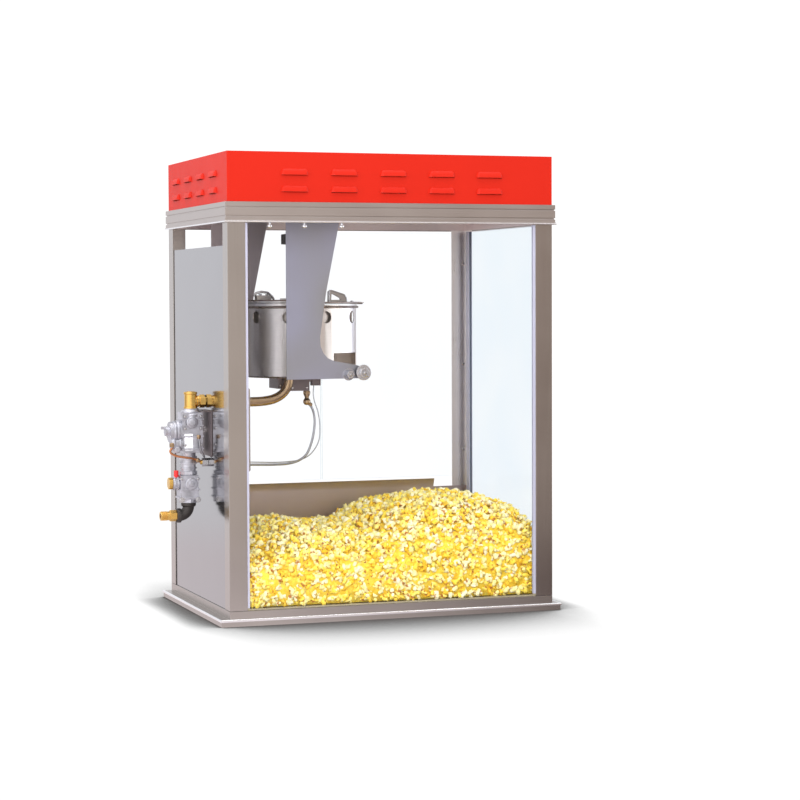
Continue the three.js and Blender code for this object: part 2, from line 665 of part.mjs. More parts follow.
// ---- The assembly ---------------------------------------------------------
add('base', base(), finish.stainless);
add('crumb_drawer', crumbDrawer(), finish.stainless);
add('popcorn_deck', popcornDeck(), finish.stainless);
add('post_front_left', post(-1, -1), finish.stainless);
add('post_front_right', post(1, -1), finish.stainless);
add('post_rear_left', post(-1, 1), finish.stainless);
add('post_rear_right', post(1, 1), finish.stainless);
add('trim_band', trimBand(), finish.stainless);
add('ceiling_pan', ceilingPan(), finish.stainless);
add('hood', hood(), finish.redEnamel);
glazing();
add('left_panel', leftPanel(), finish.polished);
add('rear_apron', rearApron(), finish.stainless);
add('popcorn_heap', popcornHeap(), finish.popcorn);
for (const [word, side] of [['left', -1], ['right', 1]]) {
  add(`door_hinge_strip_${word}`, hingeStrip(side), finish.stainless);
  add(`door_clamp_${word}`, doorClamp(side), finish.stainless);
  add(`door_pane_${word}`, doorPane(side), finish.acrylic);
}
add('switch_panel', switchPanel(), finish.stainless);
add('motor_switch', rocker(switchX[0]), finish.blackPlastic);
add('light_switch', rocker(switchX[1]), finish.blackPlastic);
add('lamp_holder', lampHolder(), finish.channel);
add('lamp_tube', lampTube(), finish.lamp);

add('kettle_bracket_front', kettleBracketFront(), finish.bracketSteel);
add('kettle_bracket_rear', kettleBracket(rearBracketOutline, 1), finish.darkSteel);
add('kettle_shell', kettleShell(), finish.polished);
add('kettle_pan', kettlePan(), finish.polished);
add('kettle_crossbar', kettleCrossbar(), finish.stainless);
add('kettle_lid_fixed', kettleLidFixed(), finish.stainless);
add('kettle_lid_flap', kettleLidFlap(), finish.stainless);
add('agitator', agitator(), finish.stainless);
add('drive_spindle', driveSpindle(), finish.darkSteel);
add('gear_motor', gearMotor(), finish.darkSteel);
add('pivot_bolt', pivotBolt(), finish.polished);
add('dump_lever', dumpLever(), finish.stainless);
add('lever_grip', leverGrip(), finish.blackPlastic);

add('burner_box', burnerBox(), finish.darkSteel);
add('burner_head', burnerHead(), finish.blackIron);
add('mixing_tube', mixingTube(), finish.bronze);
add('gas_cover_box', gasCoverBox(), finish.stainless);
add('pilot_fitting', pilotFitting(), finish.bronze);
add('pilot_tube', pilotTube(), finish.polished);
add('igniter_lead', igniterLead(), finish.polished);

add('brass_elbow', brassElbow(), finish.brass);
add('gas_valve', gasValve(), finish.castAluminium);
add('gas_knob', gasKnob(), finish.castAluminium);
add('safety_valve', safetyValve(), finish.castAluminium);
add('reset_button', resetButton(), finish.redPlastic);
add('valve_cap', valveCap(), finish.brass);
add('iron_elbow', ironElbow(), finish.blackIron);
add('flare_fitting', flareFitting(), finish.brass);
add('copper_tube', copperTube(), finish.copper);
add('valve_pilot_tube', valvePilotTube(), finish.polished);
add('bulkhead_fitting', bulkheadFitting(), finish.polished);
add('valve_bracket', valveBracket(), finish.darkSteel);

export default machine;
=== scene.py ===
"""Looks for a gas-fired counter popcorn machine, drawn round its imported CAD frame.

The axes are the frame's: +X is the customer's right, +Y runs to the server's doors, +Z is up.
The camera, lights, noise scales and kernels are in metres, the small fittings in millimetres.
"""
import math

import bmesh
import bpy
import numpy as np
from mathutils import Matrix, Vector
from mathutils.bvhtree import BVHTree


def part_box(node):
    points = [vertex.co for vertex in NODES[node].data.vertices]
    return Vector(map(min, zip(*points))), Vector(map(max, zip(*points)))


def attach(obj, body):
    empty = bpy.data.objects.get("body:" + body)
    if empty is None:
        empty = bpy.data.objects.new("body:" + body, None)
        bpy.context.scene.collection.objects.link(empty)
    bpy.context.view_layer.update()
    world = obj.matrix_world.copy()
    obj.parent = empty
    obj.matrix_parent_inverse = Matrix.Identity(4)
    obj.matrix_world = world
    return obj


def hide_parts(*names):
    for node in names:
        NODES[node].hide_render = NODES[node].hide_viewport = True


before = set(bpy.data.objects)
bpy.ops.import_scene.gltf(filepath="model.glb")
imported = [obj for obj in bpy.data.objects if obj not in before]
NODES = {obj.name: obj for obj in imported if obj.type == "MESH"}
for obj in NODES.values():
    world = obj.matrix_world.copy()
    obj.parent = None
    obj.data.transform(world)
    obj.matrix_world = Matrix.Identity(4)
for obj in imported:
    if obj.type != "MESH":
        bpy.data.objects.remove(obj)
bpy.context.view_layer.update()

MM = 0.001
LEFT, RIGHT = Vector((-1, 0, 0)), Vector((1, 0, 0))
FRONT, REAR = Vector((0, -1, 0)), Vector((0, 1, 0))
UP, DOWN = Vector((0, 0, 1)), Vector((0, 0, -1))
SIDES = ((-1, "left"), (1, "right"))


# ---------------------------------------------------------------- camera and lights

# Angles in degrees, the place in metres, lens and sensor in millimetres.
CAMERA = {"azimuth": -19.28, "elevation": 2.54, "roll": -0.23,
          "place": (-1.5088, -4.6021, 0.6597), "lens": 99.89, "sensor": 36}

# Name, place, aim, size, power in watts, and whether metal mirrors it.
LIGHTS = (("softbox_top", (-0.3, -0.2, 3.2), (0, 0, 0.3), (3.0, 3.0), 60, True),
          ("softbox_front", (-0.9, -4.2, 1.5), (0, 0, 0.35), (2.6, 1.8), 130, False),
          ("softbox_left", (-4.0, -0.6, 1.6), (0, 0, 0.6), (2.2, 1.8), 85, False))


def make_camera():
    """The camera, turned by its three angles."""
    azimuth, elevation, roll = (math.radians(CAMERA[k]) for k in ("azimuth", "elevation", "roll"))
    back = Vector((math.sin(azimuth) * math.cos(elevation),
                   -math.cos(azimuth) * math.cos(elevation), math.sin(elevation)))
    level_right = Vector((math.cos(azimuth), math.sin(azimuth), 0))
    level_up = back.cross(level_right)
    right = math.cos(roll) * level_right + math.sin(roll) * level_up
    up = -math.sin(roll) * level_right + math.cos(roll) * level_up
    data = bpy.data.cameras.new("camera")
    data.lens = CAMERA["lens"]
    data.sensor_width = CAMERA["sensor"]
    camera = bpy.data.objects.new("camera", data)
    bpy.context.scene.collection.objects.link(camera)
    turn = Matrix((right, up, back)).transposed().to_4x4()
    camera.matrix_world = Matrix.Translation(CAMERA["place"]) @ turn
    bpy.context.scene.camera = camera


def area_light(name, place, aim, size, power, mirrored):
    """A rectangular light at a place, turned to its aim."""
    data = bpy.data.lights.new(name, "AREA")
    data.shape = "RECTANGLE"
    data.size, data.size_y = size
    data.energy = power
    light = bpy.data.objects.new(name, data)
    light.location = place
    light.visible_glossy = mirrored
    light.rotation_mode = "QUATERNION"
    light.rotation_quaternion = (Vector(aim) - Vector(place)).to_track_quat("-Z", "Y")
    bpy.context.scene.collection.objects.link(light)


# ---------------------------------------------------------------- node trees

MAIN_SHADER = "Principled BSDF"


class Tree:
    """Short hand for writing one node tree."""

    def __init__(self, owner):
        owner.use_nodes = True
        self.tree = owner.node_tree
        self.nodes = self.tree.nodes

    def add(self, kind, inputs=None, **settings):
        node = self.nodes.new(kind)
        for key, value in settings.items():
            setattr(node, key, value)
        for key, value in (inputs or {}).items():
            self.put(node.inputs[key], value)
        return node

    def put(self, socket, value):
        """Links a socket to another one, or sets its value."""
        if isinstance(value, bpy.types.NodeSocket):
            self.tree.links.new(value, socket)
        else:
            socket.default_value = value

    def maths(self, operation, *values):
        node = self.add("ShaderNodeMath", dict(enumerate(values)), operation=operation)
        return node.outputs[0]

    def span(self, value, start, end, to=(0.0, 1.0), kind="LINEAR"):
        """Runs from to[0] at start to to[1] at end, and stays there beyond them."""
        return self.add("ShaderNodeMapRange", {
            "Value": value, "From Min": start, "From Max": end, "To Min": to[0],
            "To Max": to[1]}, interpolation_type=kind).outputs[0]

    def ramp(self, value, stops):
        """Stops are (position, grey or colour)."""
        node = self.add("ShaderNodeValToRGB", {"Fac": value})
        elements = node.color_ramp.elements
        while len(elements) < len(stops):
            elements.new(1.0)
        for element, (position, shade) in zip(elements, stops):
            element.position = position
            rgb = (shade,) * 3 if isinstance(shade, (int, float)) else shade
            element.color = (*rgb, 1)
        return node.outputs["Color"]

    def place(self):
        """The X, Y and Z of object coordinates."""
        place = self.add("ShaderNodeTexCoord").outputs["Object"]
        return self.add("ShaderNodeSeparateXYZ", {0: place}).outputs

    def noise(self, scale, detail=3.0, rough=0.5):
        """Noise over object coordinates; the scale is one number, or one each for X, Y and Z."""
        scale = scale if isinstance(scale, tuple) else (scale,) * 3
        place = self.add("ShaderNodeTexCoord").outputs["Object"]
        vector = self.add("ShaderNodeMapping", {"Vector": place, "Scale": scale}).outputs[0]
        return self.add("ShaderNodeTexNoise", {"Vector": vector, "Scale": 1.0, "Detail": detail,
                                               "Roughness": rough}).outputs["Fac"]

    def mix(self, factor, first, second):
        """Blends two colours."""
        node = self.add("ShaderNodeMix", data_type="RGBA")
        self.put(node.inputs[0], factor)
        for index, color in ((6, first), (7, second)):
            plain = not isinstance(color, bpy.types.NodeSocket)
            self.put(node.inputs[index], (*color, 1) if plain else color)
        return node.outputs[2]

    def surface(self, inputs):
        """Sets or links inputs of a material's main shader."""
        for key, value in inputs.items():
            self.put(self.nodes[MAIN_SHADER].inputs[key], value)

    def bump(self, height, distance):
        return self.add("ShaderNodeBump", {"Height": height, "Distance": distance,
                                           "Strength": 1.0}).outputs[0]

    def blend(self, factor, first, second):
        """Blends two shader nodes."""
        return self.add("ShaderNodeMixShader", {0: factor, 1: first.outputs[0],
                                                2: second.outputs[0]})

    def seen_or_mirrored(self, mirrored, seen):
        """One shader node for what is seen straight, and another for what light bounces off."""
        straight = self.add("ShaderNodeLightPath").outputs["Is Camera Ray"]
        return self.blend(straight, mirrored, seen)


# ---------------------------------------------------------------- room and floor

# What polished metal mirrors, by compass direction: degrees from straight ahead of the front
# pane, positive to the customer's right, and the colour of the room that way, at eye level and
# towards the counter.
ROOM_LEVEL = [(-180, (0.92, 0.92, 0.96)), (-150, (0.96, 0.96, 1.00)), (-110, (0.66, 0.62, 0.58)),
              (-70, (1.95, 1.95, 1.98)), (-50, (2.20, 2.20, 2.25)), (2, (1.10, 1.09, 1.10)),
              (14, (0.76, 0.71, 0.67)), (19, (0.64, 0.53, 0.47)), (24, (0.46, 0.34, 0.29)),
              (38, (0.50, 0.49, 0.45)), (50, (1.80, 1.80, 1.82)), (70, (3.20, 3.20, 3.25)),
              (104, (2.20, 2.20, 2.40)), (120, (0.80, 0.81, 1.02)), (142, (0.46, 0.46, 0.48)),
              (165, (0.88, 0.88, 0.92)), (180, (0.92, 0.92, 0.96))]
ROOM_LOW = [(-180, (1.05, 1.03, 1.06)), (-110, (0.50, 0.46, 0.44)), (-62, (1.00, 0.98, 0.98)),
            (2, (1.20, 1.12, 1.06)), (14, (1.12, 1.01, 0.92)), (19, (0.60, 0.52, 0.47)),
            (24, (0.17, 0.13, 0.115)), (38, (0.26, 0.22, 0.20)), (60, (1.60, 1.58, 1.58)),
            (104, (1.30, 1.28, 1.32)), (142, (0.50, 0.48, 0.48)), (180, (1.05, 1.03, 1.06))]
CEILING = (1.04, 1.04, 1.06)
BRIGHTEST = 3.3
BACKGROUND = 1.1

# How far down or up a mirrored ray points (the Z of its direction) as the room gives way to the
# counter and to the ceiling.
COUNTER_FADE = (0.05, -0.15)
CEILING_FADE = (0.1591, 0.6136)

FLOOR_RADIUS = 3.2
FLOOR_FADE = (1.0, 2.6)
FLOOR_GAP = 0.0005
FLOOR_GLOW = 1.04
FLOOR_MIRRORED_LEFT = (0.92, 0.84, 0.86)
FLOOR_MIRRORED_RIGHT = (0.20, 0.155, 0.15)
FLOOR_MIRRORED_SPAN = (-0.25, 0.45)

# How far the shadow reaches in front of the cabinet and beside it, the X between which it
# changes, and its shades from the deepest.
SHADOW_REACH, SHADOW_SPAN = (0.42, 0.08), (0.33, 0.47)
SHADOW_SHADES = [(0.50, (0.11, 0.10, 0.095)), (0.64, 0.30), (0.82, 0.74), (0.96, 1.0)]


def of_brightest(color):
    """A colour as a share of the brightest one."""
    return tuple(channel / BRIGHTEST for channel in color)


def room_ramp(t, share, stops):
    """The room's colours round the compass, as a share of the brightest."""
    return t.ramp(share, [((degrees + 180) / 360, of_brightest(color))
                          for degrees, color in stops])


def make_world():
    """A white room: plain white behind the object, and graded where metal mirrors it."""
    world = bpy.data.worlds.new("studio")
    bpy.context.scene.world = world
    t = Tree(world)
    t.nodes.clear()
    toward = t.add("ShaderNodeTexCoord").outputs["Generated"]
    parts = t.add("ShaderNodeSeparateXYZ", {0: toward}).outputs
    compass = t.maths("ARCTAN2", parts["X"], t.maths("MULTIPLY", parts["Y"], -1.0))
    share = t.maths("MULTIPLY_ADD", compass, 0.5 / math.pi, 0.5)
    around = t.mix(t.span(parts["Z"], *COUNTER_FADE), room_ramp(t, share, ROOM_LEVEL),
                   room_ramp(t, share, ROOM_LOW))
    color = t.mix(t.span(parts["Z"], *CEILING_FADE), around, of_brightest(CEILING))
    graded = t.add("ShaderNodeBackground", {"Color": color, "Strength": BRIGHTEST})
    plain = t.add("ShaderNodeBackground", {"Color": (1, 1, 1, 1), "Strength": BACKGROUND})
    t.add("ShaderNodeOutputWorld", {"Surface": t.seen_or_mirrored(graded, plain).outputs[0]})


def floor_shade(t, place):
    """A soft contact shadow that reaches further in front of the cabinet than beside it."""
    beside = t.maths("ABSOLUTE", place["X"])
    reach = t.span(beside, *SHADOW_SPAN, to=SHADOW_REACH, kind="SMOOTHSTEP")
    near = t.add("ShaderNodeAmbientOcclusion", {"Distance": reach}, samples=16).outputs["AO"]
    return t.ramp(near, SHADOW_SHADES)


def floor_material():
    """White with a shadow, as seen; as mirrored, pale on the left and dark on the right."""
    material = bpy.data.materials.new("pale_floor")
    t = Tree(material)
    t.nodes.clear()
    place = t.place()
    glow = t.add("ShaderNodeEmission", {"Color": floor_shade(t, place), "Strength": FLOOR_GLOW})
    side = t.span(place["X"], *FLOOR_MIRRORED_SPAN)
    dull = t.add("ShaderNodeEmission", {"Color": t.mix(side, FLOOR_MIRRORED_LEFT,
                                                       FLOOR_MIRRORED_RIGHT)})
    lit = t.seen_or_mirrored(dull, glow)
    point = t.add("ShaderNodeTexCoord").outputs["Object"]
    far = t.add("ShaderNodeVectorMath", {0: point}, operation="LENGTH").outputs["Value"]
    both = t.blend(t.span(far, *FLOOR_FADE, kind="SMOOTHSTEP"), lit,
                   t.add("ShaderNodeBsdfTransparent"))
    t.add("ShaderNodeOutputMaterial", {"Surface": both.outputs[0]})
    return material


def make_floor():
    """A pale round floor that fades into the white room."""
    mesh = bpy.data.meshes.new("floor")
    bm = bmesh.new()
    bmesh.ops.create_circle(bm, cap_ends=True, segments=64, radius=FLOOR_RADIUS)
    bm.to_mesh(mesh)
    bm.free()
    mesh.materials.append(floor_material())
    floor = bpy.data.objects.new("floor", mesh)
    floor.location = (0, 0, -FLOOR_GAP)
    bpy.context.scene.collection.objects.link(floor)


# ---------------------------------------------------------------- finishes

STEEL = (0.46, 0.425, 0.40)
RED = (0.48, 0.0125, 0.0035)
SAWN_EDGE = (0.62, 0.70, 0.72)
SILL_HEIGHT = 0.0345

# Which way the grain of rolled steel runs, as noise scales along X, Y and Z.
UPRIGHT, LEVEL, ACROSS = (900, 900, 6), (6, 6, 900), (6, 900, 900)


def new_material(name):
    """A material with its main shader in place, and its node tree."""
    material = bpy.data.materials.new(name)
    return material, Tree(material)


def shades(color, spread):
    """A darker and a lighter version of a colour."""
    return (tuple(channel * (1 - spread) for channel in color),
            tuple(min(1.0, channel * (1 + spread)) for channel in color))


def metal(name, color, rough, grain, spread=0.06, bump=0.0, smudge=0.08, tint=None):
    """Metal with a grain, given as its noise scale, and with smudges and a mill tint."""
    material, t = new_material(name)
    line = t.noise(grain, detail=4.0, rough=0.6)
    cloud = t.noise(9.0)
    tone = t.maths("MULTIPLY_ADD", cloud, 0.5, t.maths("MULTIPLY", line, 0.5))
    base = t.mix(t.ramp(tone, [(0.3, 0), (0.7, 1)]), *shades(color, spread))
    if tint:
        stain = t.ramp(t.noise(4.5, detail=1.0), [(0.42, 0), (0.60, 1)])
        base = t.mix(stain, base, tint)
    low, high = rough
    polish = t.maths("MULTIPLY_ADD", line, high - low, low)
    t.surface({"Base Color": base, "Metallic": 1.0,
               "Roughness": t.maths("MULTIPLY_ADD", cloud, smudge, polish)})
    if bump:
        t.surface({"Normal": t.bump(line, bump)})
    return material


def cast(name, color, rough, grit, scale=450.0):
    """Sand-cast metal: pitted, with patches of duller skin."""
    material, t = new_material(name)
    patch = t.noise(70.0, detail=4.0)
    t.surface({
        "Base Color": t.mix(t.ramp(patch, [(0.3, 0), (0.7, 1)]), *shades(color, 0.22)),
        "Roughness": t.maths("MULTIPLY_ADD", patch, 0.3, rough - 0.15),
        "Normal": t.bump(t.noise(scale, detail=5.0, rough=0.65), grit),
        "Metallic": 1.0})
    return material


def enamel(name, color):
    """Stove enamel with a faint orange peel."""
    material, t = new_material(name)
    t.surface({
        "Base Color": t.mix(t.noise(6.0, detail=2.0), *shades(color, 0.04)),
        "Roughness": t.maths("MULTIPLY_ADD", t.noise(40.0), 0.08, 0.46),
        "Normal": t.bump(t.noise(700.0, detail=1.0), 0.00006),
        "Coat Weight": 0.05, "Coat Roughness": 0.12, "Specular IOR Level": 0.16})
    return material


def plastic(name, color, rough=0.45):
    """Moulded plastic with a fine grit."""
    material, t = new_material(name)
    t.surface({
        "Base Color": t.mix(t.noise(60.0), *shades(color, 0.12)),
        "Roughness": t.maths("MULTIPLY_ADD", t.noise(400.0), 0.15, rough - 0.07),
        "Normal": t.bump(t.noise(2500.0, detail=2.0), 0.00005)})
    return material


def anodised(name, sill):
    """Lilac-grey anodising, stained brown below the sill, where the corn leaves its butter."""
    material, t = new_material(name)
    edge = t.maths("MULTIPLY_ADD", t.noise(35.0), 0.004, sill)
    clean = t.mix(t.noise(60.0), (0.39, 0.39, 0.49), (0.45, 0.45, 0.55))
    stained = t.mix(t.noise(45.0), (0.20, 0.17, 0.12), (0.34, 0.30, 0.20))
    below = t.maths("LESS_THAN", t.place()["Z"], edge)
    t.surface({"Base Color": t.mix(below, clean, stained),
               "Roughness": t.maths("MULTIPLY_ADD", t.noise(UPRIGHT), 0.2, 0.3)})
    return material


def pane(name, tint, shine, across="Y"):
    """Clear sheet: what is behind it, and a mirror image that grows at grazing angles.

    The sheet's faces look along the axis named, and its sawn edges take a deeper tint.
    """
    material, t = new_material(name)
    t.nodes.remove(t.nodes[MAIN_SHADER])
    facet = t.add("ShaderNodeTexCoord").outputs["Normal"]
    level = t.maths("ABSOLUTE", t.add("ShaderNodeSeparateXYZ", {0: facet}).outputs[across])
    body = t.mix(t.maths("LESS_THAN", level, 0.5), t.mix(t.noise(5.0, detail=2.0), *tint),
                 SAWN_EDGE)
    clear = t.add("ShaderNodeBsdfTransparent", {"Color": body})
    mirror = t.add("ShaderNodeBsdfGlossy", {
        "Color": (1, 1, 1, 1), "Roughness": t.maths("MULTIPLY", t.noise(12.0), 0.03)})
    facing = t.add("ShaderNodeLayerWeight", {"Blend": 0.5}).outputs["Facing"]
    grazing = t.maths("MULTIPLY_ADD", t.maths("POWER", facing, 5.0), 0.96, 0.04)
    both = t.blend(t.maths("MULTIPLY", grazing, shine), clear, mirror)
    t.put(t.nodes["Material Output"].inputs["Surface"], both.outputs[0])
    return material


# Colour, lowest and highest roughness, grain, and any other setting of metal().
METALS = {
    "steel_upright": (STEEL, (0.13, 0.22), UPRIGHT, {"bump": 2e-6}),
    # A much paler copy of the post steel: painted light on the rear right post.
    "steel_pale": ((0.90, 0.87, 0.86), (0.20, 0.30), UPRIGHT, {"bump": 3e-6}),
    "steel_level": (STEEL, (0.20, 0.34), LEVEL, {"bump": 4e-6}),
    "band_steel": ((0.52, 0.47, 0.445), (0.20, 0.34), LEVEL, {"bump": 4e-6}),
    "steel_flat": (STEEL, (0.25, 0.38), ACROSS, {"bump": 4e-6}),
    "apron_steel": ((0.56, 0.48, 0.50), (0.30, 0.42), LEVEL, {"bump": 3e-6}),
    # A paler copy of the steel: painted light on the ceiling pan.
    "pan_steel": ((0.76, 0.675, 0.67), (0.30, 0.42), ACROSS, {"bump": 3e-6}),
    "panel_mirror": ((0.385, 0.385, 0.40), (0.07, 0.11), UPRIGHT,
                     {"spread": 0.03, "bump": 1e-6, "smudge": 0.05}),
    "bracket_steel": ((0.42, 0.42, 0.435), (0.30, 0.42), (9, 900, 120),
                      {"spread": 0.04, "bump": 3e-6, "tint": (0.46, 0.47, 0.585)}),
    "rear_bracket_steel": ((0.52, 0.46, 0.475), (0.35, 0.5), UPRIGHT, {"bump": 3e-6}),
    "kettle_steel": ((0.95, 0.89, 0.84), (0.24, 0.30), (40, 40, 400), {"spread": 0.05}),
    "tube_steel": ((0.40, 0.40, 0.42), (0.22, 0.32), 200, {}),
    # Near-white steel: on the base ledge and the trim band's foot it is a painted highlight.
    "bead_bright": ((0.92, 0.92, 0.94), (0.14, 0.22), 300, {"spread": 0.03}),
    "bright_steel": ((0.62, 0.61, 0.62), (0.16, 0.28), 200, {"bump": 4e-6}),
    # Dark brown steel of the rolled beads and lid edges: painted shade, for the dark lines along
    # them.
    "bead_steel": ((0.34, 0.28, 0.25), (0.18, 0.30), 80, {"spread": 0.15, "bump": 3e-6}),
    # Dark steel: on the side gusset and the valve bracket it is painted shade.
    "dark_steel": ((0.24, 0.20, 0.205), (0.35, 0.55), 120, {}),
    "bronze": ((0.46, 0.32, 0.19), (0.13, 0.24), 60, {"spread": 0.2}),
    "brass": ((0.80, 0.50, 0.14), (0.16, 0.30), 90, {"spread": 0.12}),
    "copper": ((0.62, 0.27, 0.13), (0.2, 0.35), 90, {"spread": 0.15}),
}

# Colour, roughness and depth of the pits, and their noise scale where it isn't cast()'s own.
CASTINGS = {
    "cast_aluminium": ((0.60, 0.60, 0.65), 0.42, 0.0003),
    "black_iron": ((0.10, 0.09, 0.085), 0.55, 0.0005, 300.0),
    "motor_casting": ((0.09, 0.09, 0.10), 0.5, 0.0002),
}

# Colour, and the roughness where it isn't plastic()'s own.
PLASTICS = {
    "label_white": ((0.86, 0.86, 0.90), 0.3),
    "black_plastic": ((0.02, 0.02, 0.022),),
    "red_plastic": ((0.60, 0.02, 0.02), 0.3),
    "lamp_white": ((0.90, 0.87, 0.80), 0.25),
}

# The two tints a pane drifts between, its shine, and the way its faces look if not along Y.
PANES = {
    "glass": (((0.875, 0.918, 0.947), (0.94, 0.953, 0.957)), 0.10, "X"),
    "front_glass": (((0.985, 0.99, 1.0), (1.0, 1.0, 1.0)), 0.3),
    "acrylic": (((0.965, 0.972, 0.978), (0.98, 0.985, 0.99)), 0.3),
}


def make_materials():
    """Every finish by its name, apart from the corn's."""
    made = {name: metal(name, color, rough, grain, **more)
            for name, (color, rough, grain, more) in METALS.items()}
    for make, table in ((cast, CASTINGS), (plastic, PLASTICS), (pane, PANES)):
        made.update({name: make(name, *settings) for name, settings in table.items()})
    made["hood_enamel"] = enamel("hood_enamel", RED)
    made["channel"] = anodised("channel", SILL_HEIGHT)
    return made


M = make_materials()

CAD_LOOKS = {
    "steel_level": ["base", "lamp_holder", "crumb_drawer"],
    "band_steel": ["trim_band"],
    "apron_steel": ["rear_apron"],
    # The ceiling pan and the rear right post take paler copies of the steel as painted light.
    "pan_steel": ["ceiling_pan"],
    "steel_pale": ["post_rear_right"],
    "steel_upright": ["post_front_left", "post_front_right", "post_rear_left",
                      "door_hinge_strip_left", "door_hinge_strip_right", "door_clamp_left",
                      "door_clamp_right", "gas_cover_box", "dump_lever", "agitator"],
    "steel_flat": ["popcorn_deck", "switch_panel", "kettle_lid_fixed", "kettle_lid_flap",
                   "kettle_crossbar"],
    "panel_mirror": ["left_panel"],
    "bracket_steel": ["kettle_bracket_front"],
    "rear_bracket_steel": ["kettle_bracket_rear"],
    "kettle_steel": ["kettle_shell", "kettle_pan"],
    "bright_steel": ["pivot_bolt", "bulkhead_fitting"],
    "tube_steel": ["pilot_tube", "valve_pilot_tube", "igniter_lead"],
    # On the valve bracket the dark steel is painted shade behind the gas valve.
    "dark_steel": ["burner_box", "drive_spindle", "valve_bracket"],
    "motor_casting": ["gear_motor"],
    "hood_enamel": ["hood"],
    "glass": ["right_glass"],
    "front_glass": ["front_glass"],
    "acrylic": ["door_pane_left", "door_pane_right"],
    "channel": ["front_glass_channel", "right_glass_channel"],
    "bronze": ["mixing_tube", "pilot_fitting"],
    "brass": ["brass_elbow", "valve_cap", "flare_fitting"],
    "copper": ["copper_tube"],
    "cast_aluminium": ["gas_valve", "gas_knob", "safety_valve"],
    "black_iron": ["burner_head", "iron_elbow"],
    "black_plastic": ["motor_switch", "light_switch", "lever_grip"],
    "red_plastic": ["reset_button"],
    "lamp_white": ["lamp_tube"],
}


# ---------------------------------------------------------------- shading and edges

SHARP_ANGLE = math.radians(32)
BEVEL_ANGLE = math.radians(35)
CORNER_ANGLE = math.radians(60)
COPLANAR_ANGLE = math.radians(0.6)
LONG_EDGE = 0.07
WELD_DISTANCE = 2e-6

# Bevel widths in millimetres.
COMMON_BEVEL = 0.35
BEVELS = {"trim_band": 1.6, "base": 0.8, "kettle_bracket_front": 0.9, "hood": 0.9,
          "post_front_left": 1.4, "post_front_right": 1.0, "post_rear_left": 0.8,
          "post_rear_right": 0.8, "kettle_shell": 0.3, "gas_valve": 1.5, "safety_valve": 1.5,
          **dict.fromkeys(("popcorn_deck", "agitator", "popcorn_heap", "igniter_lead",
                           "pilot_tube", "copper_tube", "valve_pilot_tube", "mixing_tube",
                           "iron_elbow", "front_glass", "right_glass"), 0)}
LONG_EDGES_ONLY = "hood"


def geometry_group(name):
    """A group of geometry nodes that takes a mesh and gives one back, and its two ends."""
    group = bpy.data.node_groups.new(name, "GeometryNodeTree")
    for way in ("INPUT", "OUTPUT"):
        group.interface.new_socket("Geometry", in_out=way, socket_type="NodeSocketGeometry")
    return group, group.nodes.new("NodeGroupInput"), group.nodes.new("NodeGroupOutput")


def edges_sharper_than(group, angle):
    """A node that picks a mesh's edges by the bend across them."""
    bend = group.nodes.new("GeometryNodeInputMeshEdgeAngle")
    sharp = group.nodes.new("FunctionNodeCompare")
    sharp.operation = "GREATER_THAN"
    sharp.inputs["B"].default_value = angle
    group.links.new(bend.outputs["Unsigned Angle"], sharp.inputs["A"])
    return sharp


def smoothing_group():
    """Shades a mesh smooth, except across its sharp edges."""
    group, start, end = geometry_group("smooth_by_angle")
    new, link = group.nodes.new, group.links.new
    strip = new("GeometryNodeRemoveAttribute")
    strip.inputs["Name"].default_value = "custom_normal"
    faces = new("GeometryNodeSetShadeSmooth")
    edges = new("GeometryNodeSetShadeSmooth")
    edges.domain = "EDGE"
    edges.inputs["Shade Smooth"].default_value = False
    sharp = edges_sharper_than(group, SHARP_ANGLE)
    link(start.outputs[0], strip.inputs["Geometry"])
    link(strip.outputs["Geometry"], faces.inputs["Geometry"])
    link(faces.outputs["Geometry"], edges.inputs["Geometry"])
    link(sharp.outputs["Result"], edges.inputs["Selection"])
    link(edges.outputs["Geometry"], end.inputs[0])
    return group


def long_edge_group():
    """Gives bevel weight to a mesh's long corner edges only."""
    group, start, end = geometry_group("weigh_long_edges")
    new, link = group.nodes.new, group.links.new
    ends = new("GeometryNodeInputMeshEdgeVertices")
    length = new("ShaderNodeVectorMath")
    length.operation = "DISTANCE"
    extended = new("FunctionNodeCompare")
    extended.inputs["B"].default_value = LONG_EDGE
    sharp = edges_sharper_than(group, CORNER_ANGLE)
    both = new("FunctionNodeBooleanMath")
    store = new("GeometryNodeStoreNamedAttribute")
    store.data_type, store.domain = "FLOAT", "EDGE"
    store.inputs["Name"].default_value = "bevel_weight_edge"
    link(ends.outputs["Position 1"], length.inputs[0])
    link(ends.outputs["Position 2"], length.inputs[1])
    link(length.outputs["Value"], extended.inputs["A"])
    link(extended.outputs["Result"], both.inputs[0])
    link(sharp.outputs["Result"], both.inputs[1])
    link(both.outputs[0], store.inputs["Value"])
    link(start.outputs[0], store.inputs["Geometry"])
    link(store.outputs["Geometry"], end.inputs[0])
    return group


SMOOTHING = smoothing_group()
LONG_EDGES = long_edge_group()


def merge_facets(obj):
    """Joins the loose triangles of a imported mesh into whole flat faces."""
    weld = obj.modifiers.new("weld", "WELD")
    weld.merge_threshold = WELD_DISTANCE
    flat = obj.modifiers.new("flat", "DECIMATE")
    flat.decimate_type = "DISSOLVE"
    flat.angle_limit = COPLANAR_ANGLE


def refine(obj, bevel, by_weight=False):
    """Rounds an object's hard edges by bevel millimetres and shades its curves smooth."""
    if bevel:
        edge = obj.modifiers.new("edge", "BEVEL")
        edge.width = bevel * MM
        edge.segments = 2
        edge.limit_method = "WEIGHT" if by_weight else "ANGLE"
        edge.angle_limit = BEVEL_ANGLE
        edge.miter_outer = "MITER_ARC"
        edge.use_clamp_overlap = True
    obj.modifiers.new("smooth", "NODES").node_group = SMOOTHING
    even = obj.modifiers.new("even", "WEIGHTED_NORMAL")
    even.weight = 100
    even.keep_sharp = True


